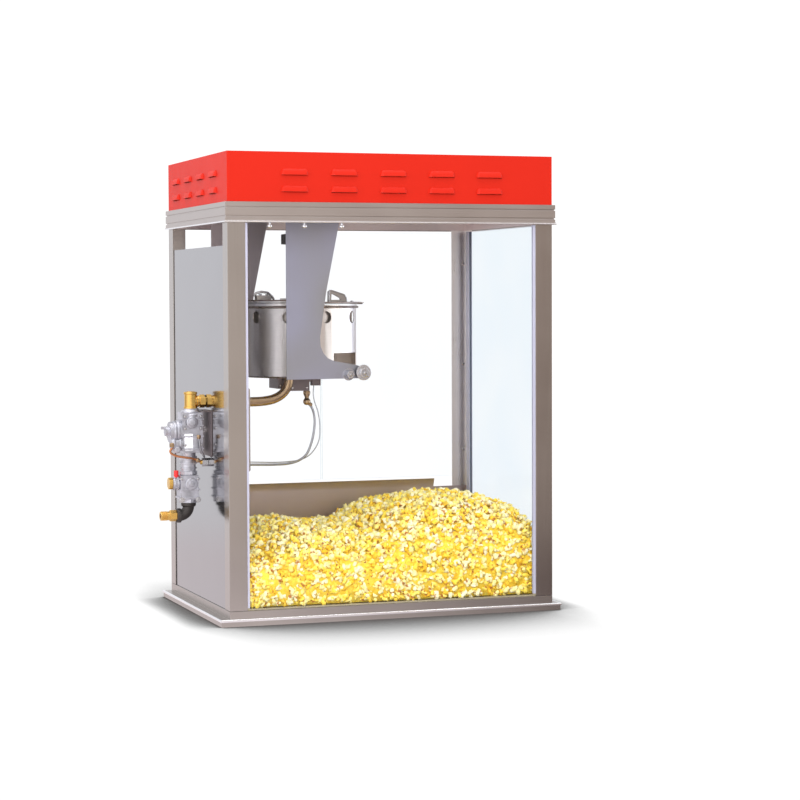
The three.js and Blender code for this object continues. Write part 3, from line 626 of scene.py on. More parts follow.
def dress_cad():
    """Gives every CAD node its finish, softened edges and smooth curves."""
    for key, names in CAD_LOOKS.items():
        for name in names:
            node = NODES[name]
            node.data.materials.clear()
            node.data.materials.append(M[key])
            merge_facets(node)
            by_weight = name == LONG_EDGES_ONLY
            if by_weight:
                node.modifiers.new("long", "NODES").node_group = LONG_EDGES
            refine(node, BEVELS.get(name, COMMON_BEVEL), by_weight)


# ---------------------------------------------------------------- drawing pieces

# Millimetres below, unless a comment says otherwise.
HEX = 6
WELD_MM = 1e-4
PIECE_BEVEL = 0.25

# Shares of a screw's radius or height.
PAN_HEAD = ((1.0, 0.0), (1.0, 0.45), (0.85, 0.8), (0.55, 1.0))
SLOT_HALF, SLOT_DEPTH, SLOT_FLOOR = 0.16, 0.55, 0.98
HALF_TURN_STEPS = 10


def box_mm(node):
    """The low and high corners of a CAD node's box."""
    low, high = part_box(node)
    return Vector(low) / MM, Vector(high) / MM


def centre_mm(node):
    """The middle of a CAD node's box."""
    low, high = box_mm(node)
    return (low + high) / 2


def evenly(first, last, count):
    """Numbers spread evenly from first to last."""
    return [first + (last - first) * i / (count - 1) for i in range(count)]


def circle(radius, sides, turn=0.0):
    """Flat points round the origin."""
    steps = [turn + 2 * math.pi * i / sides for i in range(sides)]
    return [(radius * math.cos(a), radius * math.sin(a)) for a in steps]


def arc(centre, radius, z, start, end, steps):
    """Points of a level arc, in degrees from +X."""
    angles = [math.radians(angle) for angle in evenly(start, end, steps + 1)]
    return [Vector((centre.x + radius * math.cos(a), centre.y + radius * math.sin(a), z))
            for a in angles]


def aligned(at, axis):
    """A placement that turns +Z to the axis and moves the origin to a point."""
    turn = UP.rotation_difference(Vector(axis)).to_matrix().to_4x4()
    return Matrix.Translation(at) @ turn


def disc(radius, low, high):
    """The profile of a plain disc."""
    return [(0, low), (radius, low), (radius, high), (0, high)]


def cap(radius, low, shoulder, top_radius, top):
    """The profile of a disc that narrows over its shoulder."""
    return [(0, low), (radius, low), (radius, shoulder), (top_radius, top), (0, top)]


class Piece:
    """One named piece, drawn in millimetres, that rides a body and takes a finish."""

    def __init__(self, name, look, slot, body="cabinet"):
        self.name, self.look, self.slot, self.body = name, look, slot, body
        self.bm = bmesh.new()

    def skin(self, rings, closed=False):
        """Faces between rings of points; a ring of one point is a tip."""
        rows = [[self.bm.verts.new(p) for p in ring] for ring in rings]
        for first, second in zip(rows, rows[1:] + rows[:1] if closed else rows[1:]):
            count = max(len(first), len(second))
            for i in range(count):
                j = (i + 1) % count
                if len(first) == 1:
                    corners = [first[0], second[j], second[i]]
                elif len(second) == 1:
                    corners = [first[i], first[j], second[0]]
                else:
                    corners = [first[i], first[j], second[j], second[i]]
                self.bm.faces.new(corners)

    def sweep(self, sections):
        """A bar through a row of sections, closed at both ends."""
        self.skin(sections)
        for section in (sections[0], sections[-1]):
            self.bm.faces.new([self.bm.verts.new(p) for p in section])

    def turned(self, profile, at, axis=UP, sides=24, turn=0.0):
        """A solid of revolution. The profile is (radius, height) pairs along the axis.

        One that leaves the axis and stays off it is closed by a flat face. One that never
        touches the axis is a ring.
        """
        place = aligned(at, axis)
        begins, ends = profile[0][0], profile[-1][0]
        if ends and not begins:
            profile = [*profile, (0, profile[-1][1])]
        if begins and not ends:
            profile = [(0, profile[0][1]), *profile]
        rings = []
        for radius, height in profile:
            flat = circle(radius, sides, turn) if radius else [(0, 0)]
            rings.append([place @ Vector((x, y, height)) for x, y in flat])
        self.skin(rings, closed=bool(begins and ends))

    def prism(self, outline, low, high, axes="xyz"):
        """A slab of an outline drawn along the first two axes named, from low to high."""
        order = ["xyz".index(a) for a in axes]
        rings = []
        for level in (low, high):
            ring = []
            for u, v in outline:
                point = Vector((0, 0, 0))
                point[order[0]], point[order[1]], point[order[2]] = u, v, level
                ring.append(point)
            rings.append(ring)
        self.sweep(rings)

    def block(self, low, high):
        self.prism([(low[0], low[1]), (high[0], low[1]), (high[0], high[1]), (low[0], high[1])],
                   low[2], high[2])

    def tube(self, points, radius, sides=12, closed=False):
        """A round bar along points, with rounded tips unless it closes on itself."""
        points = [Vector(p) for p in points]
        last = len(points) - 1
        rings = []
        side = None
        for i, point in enumerate(points):
            before = points[i - 1] if i or closed else point
            after = points[(i + 1) % len(points)] if i < last or closed else point
            along = (after - before).normalized()
            if side is None:
                side = along.orthogonal().normalized()
            side = (side - along * side.dot(along)).normalized()
            across = along.cross(side)
            rings.append([point + (side * x + across * y) for x, y in circle(radius, sides)])
            if not closed and i == 0:
                rings.insert(0, [point - along * radius / 2])
            if not closed and i == last:
                rings.append([point + along * radius / 2])
        self.skin(rings, closed)

    def screw(self, at, axis, radius=3.2, height=2.0):
        """A pan head with a driver's slot: two half heads on a low disc."""
        half = SLOT_HALF * radius
        start = math.asin(SLOT_HALF)
        steps = evenly(start, math.pi - start, HALF_TURN_STEPS + 1)
        place = aligned(at, axis)
        for side in (-1, 1):
            rings = []
            for share, level in PAN_HEAD:
                ring = [(share * radius * math.cos(a),
                         side * max(half, share * radius * math.sin(a))) for a in steps]
                rings.append([place @ Vector((x, y, level * height)) for x, y in ring[::side]])
            self.sweep(rings)
        self.turned(disc(radius * SLOT_FLOOR, 0, height * (1 - SLOT_DEPTH)), at, axis, 20)

    def bolt(self, at, axis, radius, height):
        """A hexagon head on a washer."""
        self.turned(disc(radius * 1.35, -0.2, 0.9), at, axis, 28)
        self.turned([(0, 0.5), (radius, 0.5), (radius, height * 0.85), (radius * 0.86, height),
                     (radius * 0.5, height), (radius * 0.42, height - 0.5), (0, height - 0.5)],
                    at, axis, HEX, 0.3)

    def done(self, bevel=PIECE_BEVEL):
        """Turns the drawing into an object in metres, on its body and with its finish."""
        bmesh.ops.remove_doubles(self.bm, verts=self.bm.verts, dist=WELD_MM)
        bmesh.ops.recalc_face_normals(self.bm, faces=self.bm.faces)
        bmesh.ops.scale(self.bm, vec=(MM, MM, MM), verts=self.bm.verts)
        mesh = bpy.data.meshes.new(self.name)
        self.bm.to_mesh(mesh)
        self.bm.free()
        mesh.materials.append(M[self.look])
        obj = bpy.data.objects.new(self.name, mesh)
        bpy.context.scene.collection.objects.link(obj)
        refine(obj, bevel)
        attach(obj, self.body)


# ---------------------------------------------------------------- cabinet

POST_SCREW_X, STRIP_SCREW_X = 346.5, 350.5
POST_SCREW_SHARES = (0.09, 0.34, 0.58, 0.86)
POST_SHEET, STRIP_LEAF = 2.0, 1.8
STRIP_SCREW_RISE = 22
PLATE_INSET = 7
HOOD_SCREWS_X, HOOD_SCREW_RISE = (-300, -100, 100, 300), 12
CEILING_SCREWS_X, CEILING_SCREW_INSET = (-262, -188, -108), 14
EDGE_BEADS = (("base", 2.9, 12.2), ("trim_band", 1.6, 822.6))
BEZEL_SECTION = ((3.5, 4, 0), (0.5, 1, 0), (0.5, 1, 1.8), (3.5, 4, 1.8))
GUSSET_WIDE, GUSSET_TALL = 15, 34


def cabinet_screws():
    """Screws of the posts, the door strips, the switch panel and the hood."""
    piece = Piece("cabinet_screws", "bright_steel", "stainless")
    for side, word in SIDES:
        low, high = box_mm(f"post_rear_{word}")
        for share in POST_SCREW_SHARES:
            z = low.z + share * (high.z - low.z)
            piece.screw((side * POST_SCREW_X, high.y - POST_SHEET, z), FRONT, 3.4)
            piece.screw((side * STRIP_SCREW_X, high.y + STRIP_LEAF, z + STRIP_SCREW_RISE),
                        REAR, 2.6, 1.6)
    low, high = box_mm("switch_panel")
    for x in (low.x + PLATE_INSET, high.x - PLATE_INSET):
        for z in (low.z + PLATE_INSET, high.z - PLATE_INSET):
            piece.screw((x, high.y, z), REAR, 2.8, 1.7)
    low, high = box_mm("hood")
    for x in HOOD_SCREWS_X:
        piece.screw((x, high.y, low.z + HOOD_SCREW_RISE), REAR, 3.0, 1.8)
    piece.done(0)


def cabinet_beads():
    """Rolled bright edges along the ledge of the base and the foot of the trim band, near-white as
    a painted highlight.
    """
    piece = Piece("cabinet_beads", "bead_bright", "stainless")
    for node, radius, z in EDGE_BEADS:
        low, high = box_mm(node)
        front, rear = low.y, -low.y
        piece.tube([(low.x, rear, z), (low.x, front, z), (high.x, front, z), (high.x, rear, z)],
                   radius, 10)
    piece.done(0)


def ceiling_screws():
    """Studs that hang from the ceiling pan, with their rounded nuts."""
    piece = Piece("ceiling_screws", "bead_bright", "stainless")
    low = box_mm("ceiling_pan")[0]
    for x in CEILING_SCREWS_X:
        piece.turned([(0, -19), (2.4, -19), (2.4, 6), (5.6, 7), (5.6, 10), (3.8, 12), (0, 12.6)],
                     (x, low.y + CEILING_SCREW_INSET, low.z - 1), DOWN, 20)
    piece.done(0.2)


def switch_bezels():
    """Frames round the two rockers."""
    piece = Piece("switch_bezels", "black_plastic", "black_plastic")
    face = box_mm("switch_panel")[1].y
    for node in ("motor_switch", "light_switch"):
        low, high = box_mm(node)
        corners = ((low.x, low.z, -1, -1), (high.x, low.z, 1, -1),
                   (high.x, high.z, 1, 1), (low.x, high.z, -1, 1))
        piece.skin([[Vector((x + east * wide, face + deep, z + up * tall))
                     for wide, tall, deep in BEZEL_SECTION] for x, z, east, up in corners],
                   closed=True)
    piece.done(0.4)


def side_gusset():
    """The brace in the top corner of the left side, behind the gap over the panel, in dark steel
    as painted shade.
    """
    low, high = box_mm("post_rear_left")
    piece = Piece("side_gusset", "dark_steel", "stainless")
    edge = low.y + 1
    piece.prism([(edge, high.z - 1), (edge - GUSSET_WIDE, high.z - 1),
                 (edge, high.z - GUSSET_TALL)], low.x + 2.2, low.x + 4.2, "yzx")
    piece.done(0.3)


# ---------------------------------------------------------------- kettle and brackets

# Start and end in degrees, and steps; a closed tube takes the last step by itself.
WHOLE_TURN = (0, 354, 70)
REAR_BOSS = 5.3
GRIP_END, GRIP_RIDGES = 10, 7
STOP_STUD, STUD_LENGTH = Vector((-60, -131, 506)), 9
FOOT_BOLT_INSET, FOOT_SHEET = 13, 2.3


def kettle_beads():
    """The rolled rim and foot of the kettle's shell, darkened as painted shade."""
    centre = centre_mm("kettle_pan")
    low, high = box_mm("kettle_shell")
    radius = centre.x - low.x
    piece = Piece("kettle_beads", "bead_steel", "polished_steel", "kettle")
    piece.tube(arc(centre, radius + 0.4, high.z - 2.6, *WHOLE_TURN), 2.3, 10, closed=True)
    piece.tube(arc(centre, radius - 2.6, low.z + 1.2, *WHOLE_TURN), 1.7, 8, closed=True)
    piece.done(0)


def pivot_nuts():
    """Nuts and thread of the bolt that the kettle tips on, and the nut of the lever's grip."""
    pivot = centre_mm("pivot_bolt")
    low, high = box_mm("pivot_bolt")
    front = (pivot.x, low.y, pivot.z)
    piece = Piece("pivot_nuts", "bright_steel", "stainless", "kettle")
    piece.turned(cap(16.5, -1, 0, 15.5, 0.9), front, FRONT, 36)
    piece.turned([(0, 0.5), (11.5, 0.5), (11.5, 7), (10, 8.2), (6.4, 8.2), (6.0, 7.2), (0, 7.2)],
                 front, FRONT, HEX, 0.25)
    piece.turned([(0, 7), (4.6, 7), (4.6, 10), (3.6, 11.2), (0, 11.6)], front, FRONT, 24)
    piece.turned(cap(10.5, 0, 6.5, 9, 7.8), (pivot.x, high.y + REAR_BOSS, pivot.z), REAR, HEX, 0.1)
    grip = centre_mm("lever_grip")
    piece.turned([(0, 0), (5, 0), (5, 2.5), (3.5, 4), (0, 4.4)],
                 (grip.x, box_mm("lever_grip")[1].y, grip.z), REAR)
    piece.done(0.35)


def grip_ridges():
    """Rings round the grip of the dump lever."""
    low, high = box_mm("lever_grip")
    grip = centre_mm("lever_grip")
    piece = Piece("grip_ridges", "black_plastic", "black_plastic", "kettle")
    for y in evenly(low.y + GRIP_END, high.y - GRIP_END, GRIP_RIDGES):
        piece.turned([(11.6, -2.4), (13.2, -1.2), (13.2, 1.2), (11.6, 2.4)],
                     (grip.x, y, grip.z), REAR, 30)
    piece.done(0)


def bracket_bolts():
    """Washer, nut and thread of the stop stud, and the foot bolts of the kettle's brackets."""
    piece = Piece("bracket_bolts", "bright_steel", "stainless")
    boss = STOP_STUD + FRONT * STUD_LENGTH
    piece.turned(disc(13, -0.5, 1.4), STOP_STUD, FRONT, 32)
    piece.turned([(0, 0.5), (9.2, 0.5), (9.2, 7), (8, 8), (5, 8), (4.6, 7), (0, 7)],
                 boss, FRONT, HEX)
    piece.turned([(0, 7), (3.4, 7), (3.4, 9.6), (2.4, 10.6), (0, 10.8)], boss, FRONT, 20)
    for node in ("kettle_bracket_front", "kettle_bracket_rear"):
        low, high = box_mm(node)
        y = low.y + FOOT_BOLT_INSET if node.endswith("front") else high.y - FOOT_BOLT_INSET
        for x in (low.x + 22, (low.x + high.x) / 2 - 22, low.x + 92):
            piece.bolt((x, y, high.z - FOOT_SHEET), DOWN, 4.6, 4.2)
    piece.done(0.3)


# ---------------------------------------------------------------- kettle lid

LID_AXIS_X, LID_AXIS_Z = -110.0, 661.0
LID_SHEET, LID_MIDDLE = 2.5, 1.2
ROLL_INSET = 0.6
FIXED_RIM = (99, 261, 60)
FLAP_RIM_FRONT, FLAP_RIM_REAR = (-82, -21, 24), (21, 82, 24)
RIM_SECTION = ((-0.6, 5.0), (0.2, -6.0), (-1.0, -6.0), (-1.8, 5.0))
HANDLE_X, HANDLE_Y = -221, -40
HANDLE_BEND = ((-20, 0, -1), (-15, -1, 5), (-4, -2, 7.5), (10, -2, 5.5), (20, -1, -3), (24, 0, -9))
LATCH_BEND = ((-75, 681), (-71, 684.5), (-58, 680.5), (-41, 675), (-35.5, 667))
LATCH_EDGES_Y, LATCH_BOLT = (-44.6, -35.4), (-22, -40)
HINGES_Y, HINGE_HALF, HINGE_LEAF = (-96, -70, 70, 96), 7, 0.9


def lid_round():
    """The middle of the kettle and the radius of its lid."""
    centre = centre_mm("kettle_pan")
    return centre, centre.x - box_mm("kettle_lid_fixed")[0].x


def lid_rim():
    """The rolled edge of the fixed half, darkened as painted shade, and the band turned down round
    it.
    """
    centre, radius = lid_round()
    sheet = box_mm("kettle_lid_fixed")[0].z + LID_MIDDLE
    edge = Piece("lid_edge_fixed", "bead_steel", "stainless", "kettle")
    edge.tube(arc(centre, radius - ROLL_INSET, sheet + 5.2, *FIXED_RIM), 1.7, 10)
    edge.done(0)
    band = Piece("lid_rim_band", "kettle_steel", "stainless", "kettle")
    edges = [arc(centre, radius + step, sheet + rise, *FIXED_RIM) for step, rise in RIM_SECTION]
    band.sweep(list(zip(*edges)))
    band.done(0)


def lid_handle():
    """A bent rod and two bolts on the block of the fixed half."""
    x, y, z = HANDLE_X, HANDLE_Y, box_mm("kettle_lid_fixed")[1].z
    piece = Piece("lid_handle", "bright_steel", "stainless", "kettle")
    piece.tube([(x + east, y + north, z + up) for east, north, up in HANDLE_BEND], 2.6, 12)
    piece.bolt((x - 7, y - 3, z - 1), UP, 4.2, 4.5)
    piece.bolt((x + 9, y + 3, z - 1), UP, 3.4, 3.6)
    piece.done(0.3)


def lid_edge_flap():
    """The rolled edge of the flap, which dips round its spout, darkened as painted shade."""
    centre, radius = lid_round()
    low, high = box_mm("kettle_lid_flap")
    level, spout = low.z + LID_MIDDLE, high.x
    corners = [Vector((spout - 3.5, -37, level - 0.6)), Vector((spout - 1.5, -30, level - 1.4)),
               Vector((spout - 1.5, 30, level - 1.4)), Vector((spout - 3.5, 37, level - 0.6))]
    piece = Piece("lid_edge_flap", "bead_steel", "stainless", "lid_flap")
    piece.tube(arc(centre, radius - ROLL_INSET, level, *FLAP_RIM_FRONT) + corners
               + arc(centre, radius - ROLL_INSET, level, *FLAP_RIM_REAR), 2.1, 10)
    piece.done(0)


def lid_latch():
    """The rolled edges of the flap's tab, and its bolt."""
    level = box_mm("kettle_lid_flap")[0].z + LID_MIDDLE
    piece = Piece("lid_latch", "bright_steel", "stainless", "lid_flap")
    path = [(-75, level + 1), *LATCH_BEND, (-35, level + 2)]
    for y in LATCH_EDGES_Y:
        piece.tube([(x, y, z) for x, z in path], 1.3, 8)
    piece.bolt((*LATCH_BOLT, level + 1), UP, 3.6, 3.4)
    piece.done(0)


def lid_hinge():
    """Barrels, leaves and screws on the axis of the flap."""
    top = box_mm("kettle_lid_flap")[0].z + LID_SHEET
    piece = Piece("lid_hinge", "bright_steel", "stainless", "kettle")
    for y in HINGES_Y:
        piece.turned(disc(1.7, -HINGE_HALF, HINGE_HALF), (LID_AXIS_X, y, LID_AXIS_Z), REAR, 16)
        piece.block((LID_AXIS_X - 14, y - HINGE_HALF, top),
                    (LID_AXIS_X - 0.8, y + HINGE_HALF, top + HINGE_LEAF))
        piece.screw((LID_AXIS_X - 8, y, top + HINGE_LEAF), UP, 2.4, 1.4)
    piece.done(0.2)


# ---------------------------------------------------------------- gas train

TRAIN_X, TRAIN_Y = -385.0, -55.0
NECK_X = -391.0
VALVE_LEFT, VALVE_MIDDLE, VALVE_RIGHT = -408.0, -386.0, -364.0
VALVE_STUB = 6
REGULATOR_Z, REGULATOR_FACE = 388, -431.5
COVER_SCREW_RADIUS, COVER_SCREW_ANGLES = 17.5, (35, 145, 215, 325)
LOWER_FRONT, LOWER_CAP_Z = -74.0, 280
BRASS_OUTLET_Z = 452

# Height, radius, thickness and sides.
NECK_RINGS = ((333, 19.5, 8, 8), (322, 18, 3, 28), (312, 18, 3, 28), (302, 20, 7, 8))

# Place, direction and profile.
TUBE_NUTS = (((-377, -76.5, 329), FRONT, ((0, 0), (5.6, 0), (5.6, 6), (4.4, 8), (2.6, 9.5))),
             ((-431.5, -80, 358), UP, ((0, 0), (5.2, 0), (5.2, 6), (4, 8), (2.6, 9))),
             ((-374, -80, 382), DOWN, ((0, 0), (4.6, 0), (4.6, 6), (3.4, 8), (2.4, 8.5))))


def valve_levels():
    """The front face of the upper valve, and its top and bottom."""
    low, high = box_mm("gas_valve")
    return low.y, high.z - VALVE_STUB, low.z


def draw_upper_valve(piece):
    """Cover, ribs and boss of the upper valve."""
    front, top, bottom = valve_levels()
    piece.turned([(0, -9), (24, -9), (24, -4), (21, -1), (21, 2), (17.5, 5), (17.5, 8), (0, 8)],
                 (TRAIN_X, TRAIN_Y, top), UP, 32)
    for z in (top - 14, top - 27, bottom + 34, bottom + 8):
        piece.block((VALVE_LEFT - 1.6, front - 1.6, z - 1.6),
                    (VALVE_RIGHT + 1.2, front + 44, z + 1.6))
    for x in (VALVE_LEFT + 4, VALVE_MIDDLE + 2, VALVE_RIGHT - 4):
        piece.block((x - 1.5, front - 1.5, top - 27), (x + 1.5, front + 2, top - 14))
    piece.turned([(0, -3), (12.5, -3), (12.5, 1.6), (11, 3), (7.5, 3.4), (6.8, 5.4), (0, 5.8)],
                 (VALVE_MIDDLE - 2, front, top - 20.5), FRONT, 32)


def draw_regulator(piece):
    """Rims and caps on the left of the upper valve."""
    front = valve_levels()[0]
    piece.turned([(23.5, 0), (24.5, 1), (24.5, 5), (23.5, 6), (20, 6.4)],
                 (-412, TRAIN_Y, REGULATOR_Z), LEFT, 36)
    piece.turned([(22.8, 12), (23.6, 13), (23.6, 16), (22.8, 17), (20, 19.5), (13, 21.5),
                  (11, 25.5), (0, 26)], (-407, TRAIN_Y, REGULATOR_Z), LEFT, 36)
    piece.turned([(0, 0), (14.5, 0), (14.5, 4), (13.5, 5), (13.5, 14), (14.5, 15), (14.5, 19),
                  (12, 22.5), (0, 24)], (-409, -66, 363), LEFT, 28)
    piece.turned(cap(8, 0, 6, 6.5, 7.5), (-420, front + 4, 352), FRONT, HEX)


def draw_lower_valve(piece):
    """Ribs, boss and side rims of the lower valve."""
    for z in (290, 267, 250):
        piece.block((-414.5, LOWER_FRONT - 2.2, z - 2), (-370.5, -35, z + 2))
    piece.turned([(0, -3), (13, -3), (13, 2), (11.5, 3.4), (6, 3.8), (5.4, 6), (0, 6.4)],
                 (-389, LOWER_FRONT, 279), FRONT, 30)
    for profile in ([(14.2, 0), (15.4, 1), (15.4, 4), (14.2, 5)],
                    [(14.1, 8), (15, 9), (15, 11), (14.1, 12)]):
        piece.turned(profile, (-412, TRAIN_Y, LOWER_CAP_Z), LEFT, 30)


def gas_valve_castings():
    """Caps, ribs and necks of the two gas valves."""
    piece = Piece("gas_valve_castings", "cast_aluminium", "cast_aluminium")
    draw_upper_valve(piece)
    draw_regulator(piece)
    for z, radius, thick, sides in NECK_RINGS:
        piece.turned(disc(radius, -thick / 2, thick / 2), (NECK_X, TRAIN_Y, z), UP, sides, 0.2)
    draw_lower_valve(piece)
    piece.done(0.6)


def gas_train_screws():
    """Screws and bolts of the two gas valves."""
    front, top, bottom = valve_levels()
    piece = Piece("gas_train_screws", "bright_steel", "cast_aluminium")
    for x in (VALVE_LEFT + 5, VALVE_RIGHT - 5):
        for z in (bottom + 16, top - 8, top - 33):
            piece.screw((x, front, z), FRONT, 3.2, 2.6)
    piece.bolt((VALVE_RIGHT + 6, front + 12, 393), FRONT, 4.6, 4.4)
    for angle in map(math.radians, COVER_SCREW_ANGLES):
        y = TRAIN_Y + COVER_SCREW_RADIUS * math.cos(angle)
        z = REGULATOR_Z + COVER_SCREW_RADIUS * math.sin(angle)
        piece.screw((REGULATOR_FACE, y, z), LEFT, 2.4, 2.0)
    for x in (-410, -375):
        piece.bolt((x, LOWER_FRONT - 2, 246), FRONT, 4.4, 4.6)
        piece.screw((x, LOWER_FRONT - 2, 290), FRONT, 3.0, 2.4)
    piece.done(0)


def gas_valve_label():
    """A blank plate on the upper valve."""
    front = valve_levels()[0]
    piece = Piece("gas_valve_label", "label_white", "cast_aluminium")
    piece.block((-404.5, front - 0.9, 350), (-386.5, front + 0.1, 385))
    piece.done(0.15)


def brass_details():
    """Beads of the upper elbow, and the thread of the flare fitting."""
    low, high = box_mm("brass_elbow")
    piece = Piece("brass_details", "brass", "brass")
    for z in (high.z - 3, low.z + 3.5):
        piece.turned([(12.6, -3), (14.4, -2), (14.4, 2), (12.6, 3)], (TRAIN_X, TRAIN_Y, z), UP, 32)
    piece.turned(disc(8.5, 0, 1.4), (TRAIN_X, TRAIN_Y, high.z - 0.6), UP, 24)
    piece.turned([(10.2, 0), (12.2, 1), (12.2, 5), (10.2, 6)],
                 (TRAIN_X + 12, TRAIN_Y, BRASS_OUTLET_Z), RIGHT, 28)
    flare_x, inlet_z = box_mm("flare_fitting")[0].x, centre_mm("flare_fitting").z
    for i in range(5):
        piece.turned([(9.3, -0.9), (10.4, 0), (9.3, 0.9)],
                     (flare_x + 3.2 + 2.6 * i, TRAIN_Y, inlet_z), RIGHT, 28)
    piece.turned(cap(5.2, 0, 5.5, 4.2, 6.5), (-363, -72, 324.5), LEFT, HEX)
    piece.done(0.25)


def elbow_beads():
    """The swollen ends of the iron elbow."""
    low, high = box_mm("iron_elbow")
    inlet_z = centre_mm("flare_fitting").z
    piece = Piece("elbow_beads", "black_iron", "black_iron")
    piece.turned([(0, -1), (15, -1), (15.6, 1), (15.6, 6), (13.5, 8.5), (12, 9)],
                 (NECK_X, TRAIN_Y, high.z), DOWN, 32)
    piece.turned([(12, -1), (14, 0), (15.2, 2), (15.2, 8), (14, 9)],
                 (low.x, TRAIN_Y, inlet_z), RIGHT, 32)
    piece.done(0.3)


def tube_nuts():
    """Flare nuts of the two small tubes."""
    piece = Piece("tube_nuts", "bronze", "copper")
    for place, way, profile in TUBE_NUTS:
        piece.turned(profile, place, way, HEX)
    piece.done(0.25)


# ---------------------------------------------------------------- burner, motor, lamp, doors

COVER_OUTLET_Z = 448
PILOT_WAY = Vector((0.72, 0, -0.55))
BLOCK_SCREWS = ((-156, -38.1, 476), (-124, -38.1, 476))
BURNER_FACE = -35.1
MOTOR_Z, GEARCASE_TOP = 884, 900
GEARCASE_BOLTS_X, GEARCASE_BOLTS_Y = (-172, -83), (-38, 38)
RIB_START, RIB_PITCH, RIB_COUNT = -62, 13, 9
FINGER_HOLE_X, FINGER_HOLE_Z = 24, 540
CLAMP_SCREW_X, CLAMP_SCREW_END, CLAMP_SCREWS = 327.5, 40, 5
GROMMET_FLANGE = ((12.8, 2.6), (12.2, 3.2), (15.4, 3.2), (16, 2.6), (16, 2.1), (13, 2.1))
GROMMET_SLEEVE = ((12.9, -2.8), (12.2, -2.8), (12.2, 2.8), (12.9, 2.8))


def mixing_tube_collars():
    """The air shutter, and the collar where the tube leaves the gas cover."""
    high = box_mm("mixing_tube")[1]
    y = centre_mm("mixing_tube").y
    piece = Piece("mixing_tube_collars", "bronze", "bronzed_steel")
    piece.turned([(10, -2), (12.6, -1.4), (12.6, 4), (10, 5)], (high.x - 10, y, high.z - 7),
                 UP, 28)
    piece.turned([(10, 0), (13.2, 0.6), (13.2, 7.4), (10, 8)],
                 (box_mm("gas_cover_box")[1].x + 0.4, y, COVER_OUTLET_Z), RIGHT, 28)
    piece.done(0.2)


def pilot_union():
    """Nuts of the pilot fitting."""
    low, high = box_mm("pilot_fitting")
    middle = centre_mm("pilot_fitting")
    piece = Piece("pilot_union", "bronze", "brass")
    piece.turned(cap(8.2, 0, 4.6, 7, 5.8), (middle.x, middle.y, high.z - 6.2), UP, HEX)
    piece.turned([(0, 0), (4.2, 0.4), (4.2, 6), (3, 7.4), (2.4, 7.8)],
                 (middle.x + 5, middle.y, low.z + 4), PILOT_WAY, HEX)
    piece.done(0.2)


def burner_screws():
    """Screws of the burner box and the igniter block."""
    low = box_mm("burner_box")[0]
    piece = Piece("burner_screws", "bright_steel", "dark_steel")
    for place in ((low.x + 6, BURNER_FACE, low.z + 12), *BLOCK_SCREWS):
        piece.screw(place, FRONT, 2.6, 1.8)
    piece.done(0)


def motor_ribs():
    """Cooling ribs of the motor and the bolts of its gearcase."""
    piece = Piece("motor_ribs", "motor_casting", "motor_casting")
    for i in range(RIB_COUNT):
        piece.turned([(35.4, -1.3), (38, -0.9), (38, 0.9), (35.4, 1.3)],
                     (RIB_START + RIB_PITCH * i, 0, MOTOR_Z), RIGHT, 36)
    for x in GEARCASE_BOLTS_X:
        for y in GEARCASE_BOLTS_Y:
            piece.bolt((x, y, GEARCASE_TOP), UP, 4.4, 4)
    piece.done(0.2)


def lamp_caps():
    """Metal caps on the ends of the lamp."""
    low, high = box_mm("lamp_tube")
    middle = centre_mm("lamp_tube")
    piece = Piece("lamp_caps", "bright_steel", "lamp_glass")
    for x, way in ((low.x + 0.6, RIGHT), (high.x - 0.6, LEFT)):
        piece.turned([(6.9, 0), (7.3, 0.4), (7.3, 11), (6.9, 11.6)], (x, middle.y, middle.z),
                     way, 28)
    piece.done(0)


def door_grommets():
    """Grommets in the finger holes, and screws through the clamp strips."""
    for side, word in SIDES:
        pane_low, pane_high = box_mm(f"door_pane_{word}")
        hole = (side * FINGER_HOLE_X, (pane_low.y + pane_high.y) / 2, FINGER_HOLE_Z)
        piece = Piece(f"door_grommet_{word}", "bright_steel", "stainless", f"door_{word}")
        for way in (-1, 1):
            piece.turned([(radius, way * y) for radius, y in GROMMET_FLANGE], hole, REAR, 36)
        piece.turned(GROMMET_SLEEVE, hole, REAR, 36)
        low, high = box_mm(f"door_clamp_{word}")
        for z in evenly(low.z + CLAMP_SCREW_END, high.z - CLAMP_SCREW_END, CLAMP_SCREWS):
            piece.screw((side * CLAMP_SCREW_X, pane_high.y, z), REAR, 3.0, 1.8)
        piece.done(0)


# ---------------------------------------------------------------- popped corn

# Metres.
SEED = 7
KERNEL_SHAPES = 24
KERNEL_PITCH = 0.0118
KERNEL_SIZE = (0.0078, 0.0112)
CORN_PIECES = 9
CORN_EDGE = 0.0095
CORN_FOOT = 0.006
ROW_SHARE, COLUMN_SHARE = 0.9, 0.95
TOP_SINK, TOP_SPREAD = 0.003, (-0.005, 0.004)
WALL_SPREAD, WALL_HEADROOM = (-0.0015, 0.006), 0.004
CORE_INSET, CORE_SINK, CORE_LEAST, CORE_FLOOR = 0.011, 0.0085, 0.004, 0.001
CORE_GRID = (60, 42)
CORE_TONE, CORE_CREASE = 0.75, 0.35

# Shares of a kernel's size: how far its lobes stand out and how thick they are, its least
# radius, the depth and width of its creases, and how much its skin wobbles.
LOBE_COUNT, LOBE_REACH, LOBE_RADIUS = (5, 9), (0.45, 0.85), (0.30, 0.52)
KERNEL_LEAST, CREASE_DEPTH, CREASE_WIDTH = 0.36, 0.06, 0.07
WOBBLE, WOBBLE_WAVES, WOBBLE_PHASE = 0.07, 9, 6

# From pale to deep butter, and the brown of the hulls, which the creases also take as painted
# shade.
FLESH = [(0.0, (0.93, 0.88, 0.60)), (0.30, (0.92, 0.82, 0.34)), (0.62, (0.91, 0.71, 0.085)),
         (1.0, (0.84, 0.48, 0.02))]
HULL_AND_CREASE_SHADE_BROWN = (0.42, 0.15, 0.025)
TONE_SPREAD = (1.3, 1.6)


